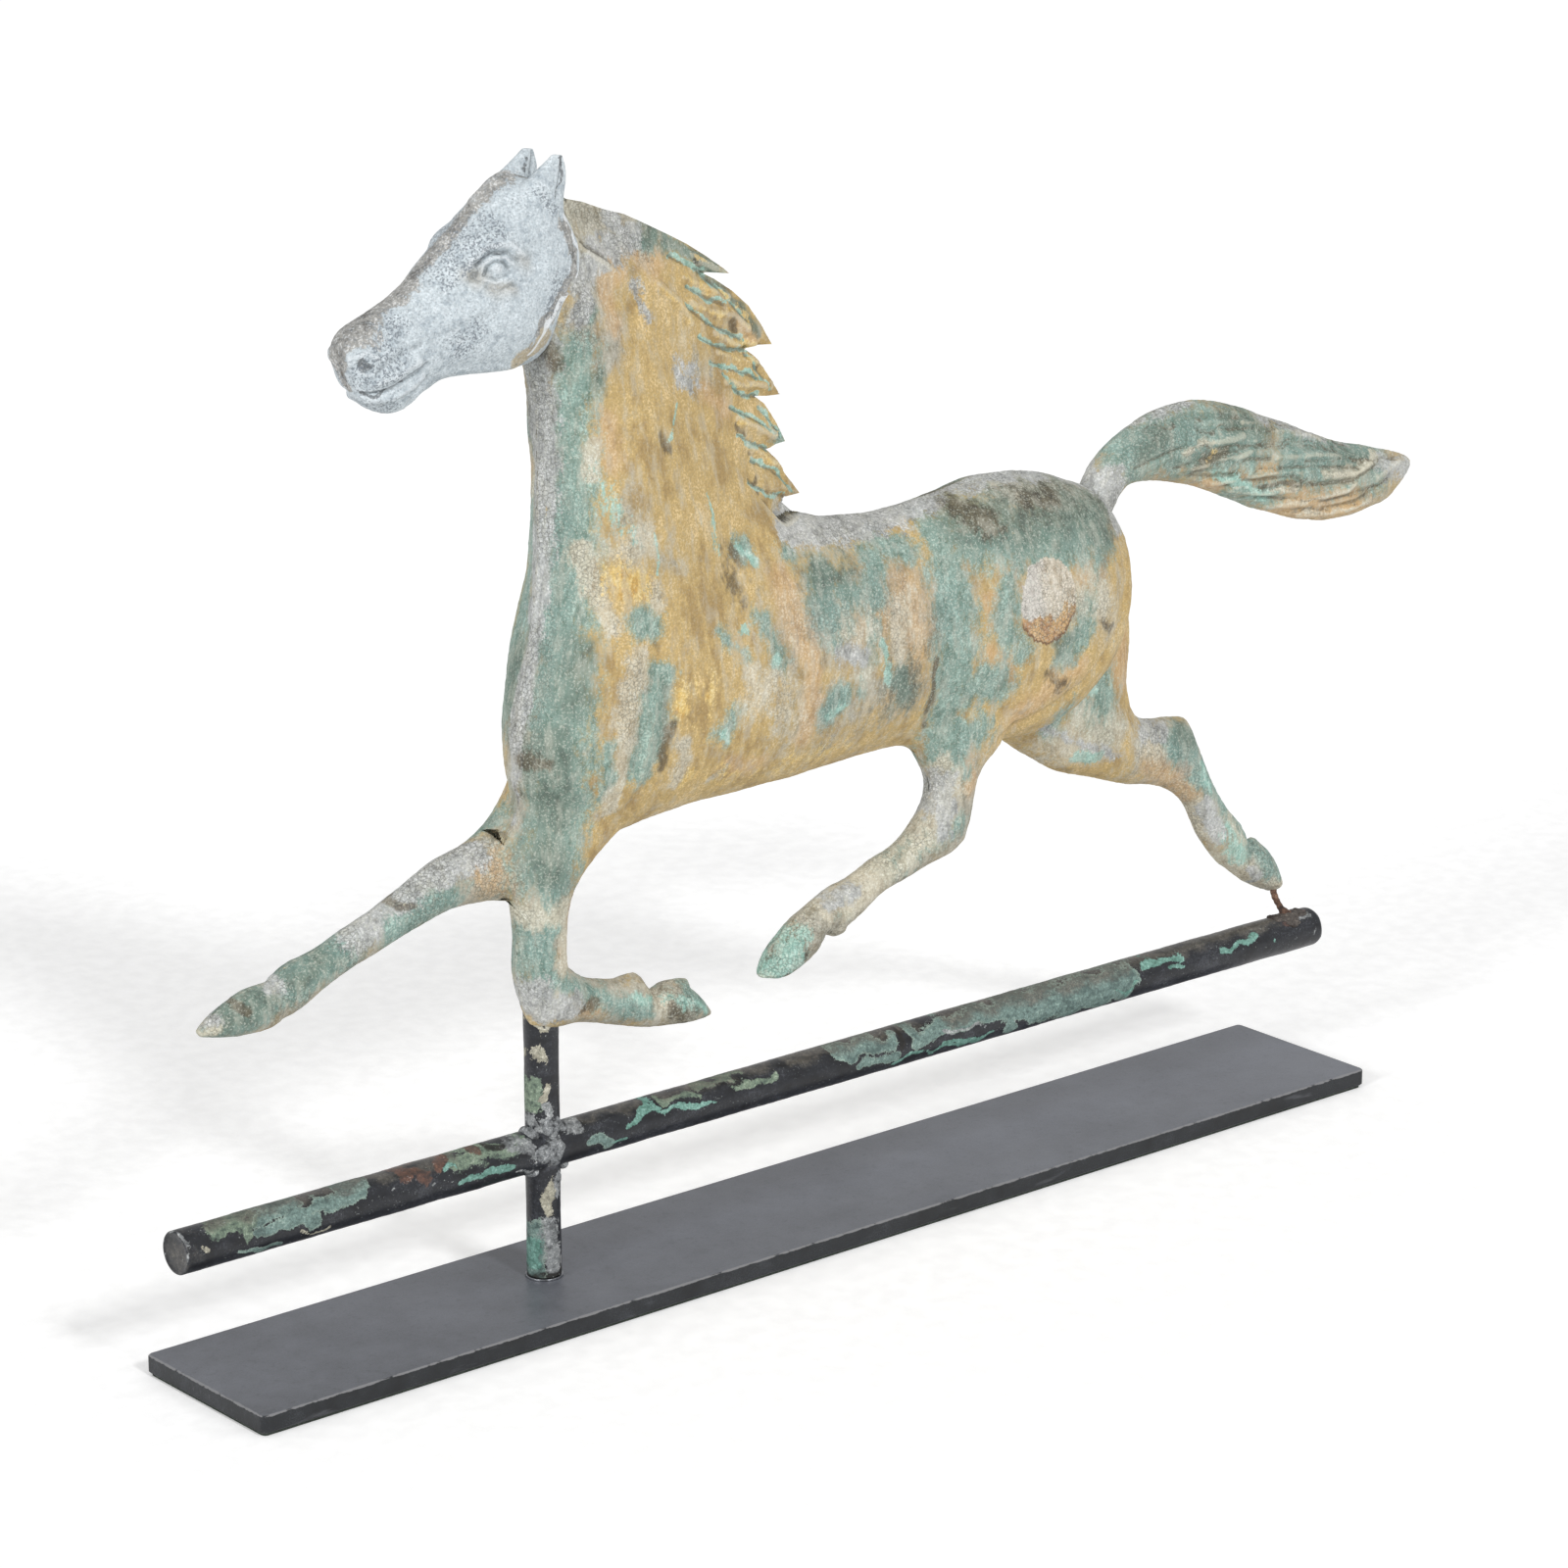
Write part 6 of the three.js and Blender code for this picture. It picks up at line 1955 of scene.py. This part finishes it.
def makePlain(name):
    look = plainLooks[name]
    material, shader, place = newMaterial(name)
    size = look["size"]
    _, middle, small, grain = makeFields(place, (size * 6, size * 2.5, size, size / 4))
    shader.inputs["Metallic"].default_value = look["metallic"]
    base, swing = look["rough"]
    joinShader(shader, blots(look["tones"], middle[0], small[1], grain[2]), small[2] * swing + base,
               small[0] + grain[1] * 0.4, (0.5, look["relief"]))
    return material


plateLook = {
    "sizes": (60, 14, 3.4, 0.8),
    "tones": [(50, 53, 58), (31, 34, 38), (23, 25, 28)],
    # grey film on the top: dust and scuffs with a painted sheen
    "dustAndSheen": ((122, 125, 133), 1.0),  # grey film on the top
    # edge: worn paint and a painted highlight along the top edges
    "edge": ((150, 150, 152), 0.7),
    "scuff": ((122, 124, 130), 0.25),
    "half": (380.9, 50.7),  # to just inside the plate's edges
    "middle": (167, -5.4),
    "top": 11.0,
}


# Satin black paint: dust, scuffs and a painted sheen lighten the top; worn paint and a painted highlight
# run along the plate's edges.
def makePlatePaint():
    look = plateLook
    material, shader, place = newMaterial("satinBlack")
    wide, middle, small, grain = makeFields(place, look["sizes"])
    shade = blots(look["tones"], wide[0], middle[1], grain[2])
    x, y, z = addNode(place.tree, "ShaderNodeSeparateXYZ", {"Vector": place}, "all")
    (halfX, halfY), (middleX, middleY), top = look["half"], look["middle"], look["top"]
    nearX = rise(reckon("ABSOLUTE", x - middleX * mm), (halfX - 2.4) * mm, (halfX - 0.2) * mm)
    nearY = rise(reckon("ABSOLUTE", y - middleY * mm), (halfY - 2.0) * mm, (halfY - 0.2) * mm)
    nearTop = rise(z, (top - 1.8) * mm, (top - 0.2) * mm)
    corner = highest(highest(nearX, nearY) * nearTop, nearX * nearY)
    # the top's film: dust and scuffs with a painted sheen, a little lighter towards +X
    film = middle[0] * 0.45 + grain[0] * 0.5 + wide[2] * 0.5 + x * 0.3
    film = film - rise(small[1], 0.55, 0.7) * 0.12
    shade = touch(shade, look["dustAndSheen"], film * rise(z, (top - 0.06) * mm, (top - 0.01) * mm))
    # worn paint and a painted highlight along the edges
    worn = rise(corner + (small[0] - 0.72) + (middle[2] - 0.5), 0.42, 0.62)
    shade = touch(shade, look["edge"], worn)
    scratch = addNode(place.tree, "ShaderNodeTexNoise", {
        "Vector": stretched(place, (3.0, 90.0, 20.0)), "Scale": 12.0, "Detail": 5.0}, "Fac")
    shade = touch(shade, look["scuff"], rise(scratch, 0.60, 0.74))
    joinShader(shader, shade, middle[0] * 0.16 + 0.30, grain[1] + scratch * 0.3, (0.3, 0.15))
    return material


def finish(obj, material):
    obj.data.materials.clear()
    obj.data.materials.append(material)


patinaCopper, paintedZinc, flakedIron = makePatina(), makeZinc(), makeIron()
for piece in pieces:
    finish(piece, paintedZinc if piece.name.startswith("head") else patinaCopper)

for piece, node in (
    (makePipe("uprightPipe", pipes["upright"], False), "upright_tube"),
    (makePipe("crossbarPipe", pipes["crossbar"], True), "crossbar_tube"),
    (makeFrontCap(), "front_end_cap"),
    (makeRearCap(), "rear_end_cap"),
):
    keepCoats(piece, paintCoats(piece, pipeFlakes, 2.0))
    finish(piece, flakedIron)
    addPiece(piece, "vane", node)
crossing = makeLumps("crossingSolder", solderLumps, 0.11, 51)
wireFoot = makeLumps("wireSolder", rustLumps, 0.45, 55)
plain = {name: makePlain(name) for name in plainLooks}
for piece, look, body, slot, node in (
    (crossing, "solderLump", "vane", "solder", "crossing_solder"),
    (wireFoot, "rustLump", "vane", "rusty_wire", "wire_solder"),
    (makeWire(), "rustedWire", "vane", "rusty_wire", "hoof_wire"),
    (makeWasher(), "brightSteel", "stand", "bright_steel", "foot_washer"),
):
    finish(piece, plain[look])
    addPiece(piece, body, node)
print("pipes and fittings made")

finish(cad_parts["base_plate"], makePlatePaint())
for node, look in (
    ("felt_pad", "greenFelt"),
    ("spindle", "brightSteel"),
    ("base_screw", "brightSteel"),
    ("lower_bush", "bearingBronze"),
    ("pivot_cup", "bearingBronze"),
):
    finish(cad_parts[node], plain[look])
print("materials done")

# Camera and room
view = {
    "lens": 119.1,
    "place": (-1.5055, -1.9739, 1.0237),
    "right": (0.764229, -0.644945, 0.000667),
    "up": (0.186039, 0.221437, 0.957264),
    "back": (-0.617531, -0.731445, 0.289213),
}
room = {
    "floorHalf": 9.0,  # metres
    "floorColour": (0.93, 0.93, 0.93, 1),
    "skyLight": 0.56,
    "floorGlow": 0.2,  # seen by the camera only
    # name, direction towards the lamp, spread of the light in degrees and strength
    "suns": [
        ("rightSun", (-0.09, -1.44, 1.0), 9, 1.15),
        ("leftSun", (-2.29, -0.43, 1.0), 12, 0.95),
    ],
}
white, black = (1, 1, 1, 1), (0, 0, 0, 1)


def makeCamera():
    data = bpy.data.cameras.new("photoCamera")
    data.lens = view["lens"]
    data.sensor_width = 36
    data.clip_end = 60
    camera = bpy.data.objects.new("photoCamera", data)
    turn = Matrix((view["right"], view["up"], view["back"])).transposed().to_4x4()
    camera.matrix_world = Matrix.Translation(view["place"]) @ turn
    bpy.context.scene.collection.objects.link(camera)
    bpy.context.scene.camera = camera


def makeRoom():
    bpy.ops.mesh.primitive_plane_add(size=2 * room["floorHalf"])
    floor = bpy.context.object
    floor.name = "floor"
    material, shader, place = newMaterial("whitePaper")
    grain = addNode(place.tree, "ShaderNodeTexNoise", {"Vector": place, "Scale": 90.0, "Detail": 3.0},
                    "Fac")
    paper = stir(room["floorColour"], white, rise(grain, 0.3, 0.7))
    seen = addNode(place.tree, "ShaderNodeLightPath", {}, "Is Camera Ray")
    glow = stir(black, white, seen)
    join(paper, shader.inputs["Base Color"])
    join(glow, shader.inputs["Emission Color"])
    shader.inputs["Roughness"].default_value = 0.9
    shader.inputs["Emission Strength"].default_value = room["floorGlow"]
    finish(floor, material)
    for name, towards, spread, strength in room["suns"]:
        lamp = bpy.data.lights.new(name, "SUN")
        lamp.energy = strength
        lamp.angle = math.radians(spread)
        holder = bpy.data.objects.new(name, lamp)
        holder.rotation_euler = Vector(towards).to_track_quat("Z", "Y").to_euler()
        bpy.context.scene.collection.objects.link(holder)
    world = bpy.data.worlds.new("room")
    bpy.context.scene.world = world
    world.use_nodes = True
    sky = world.node_tree.nodes["Background"].inputs
    sky["Color"].default_value = white
    sky["Strength"].default_value = room["skyLight"]
    bpy.context.scene.view_settings.view_transform = "Standard"


makeCamera()
makeRoom()
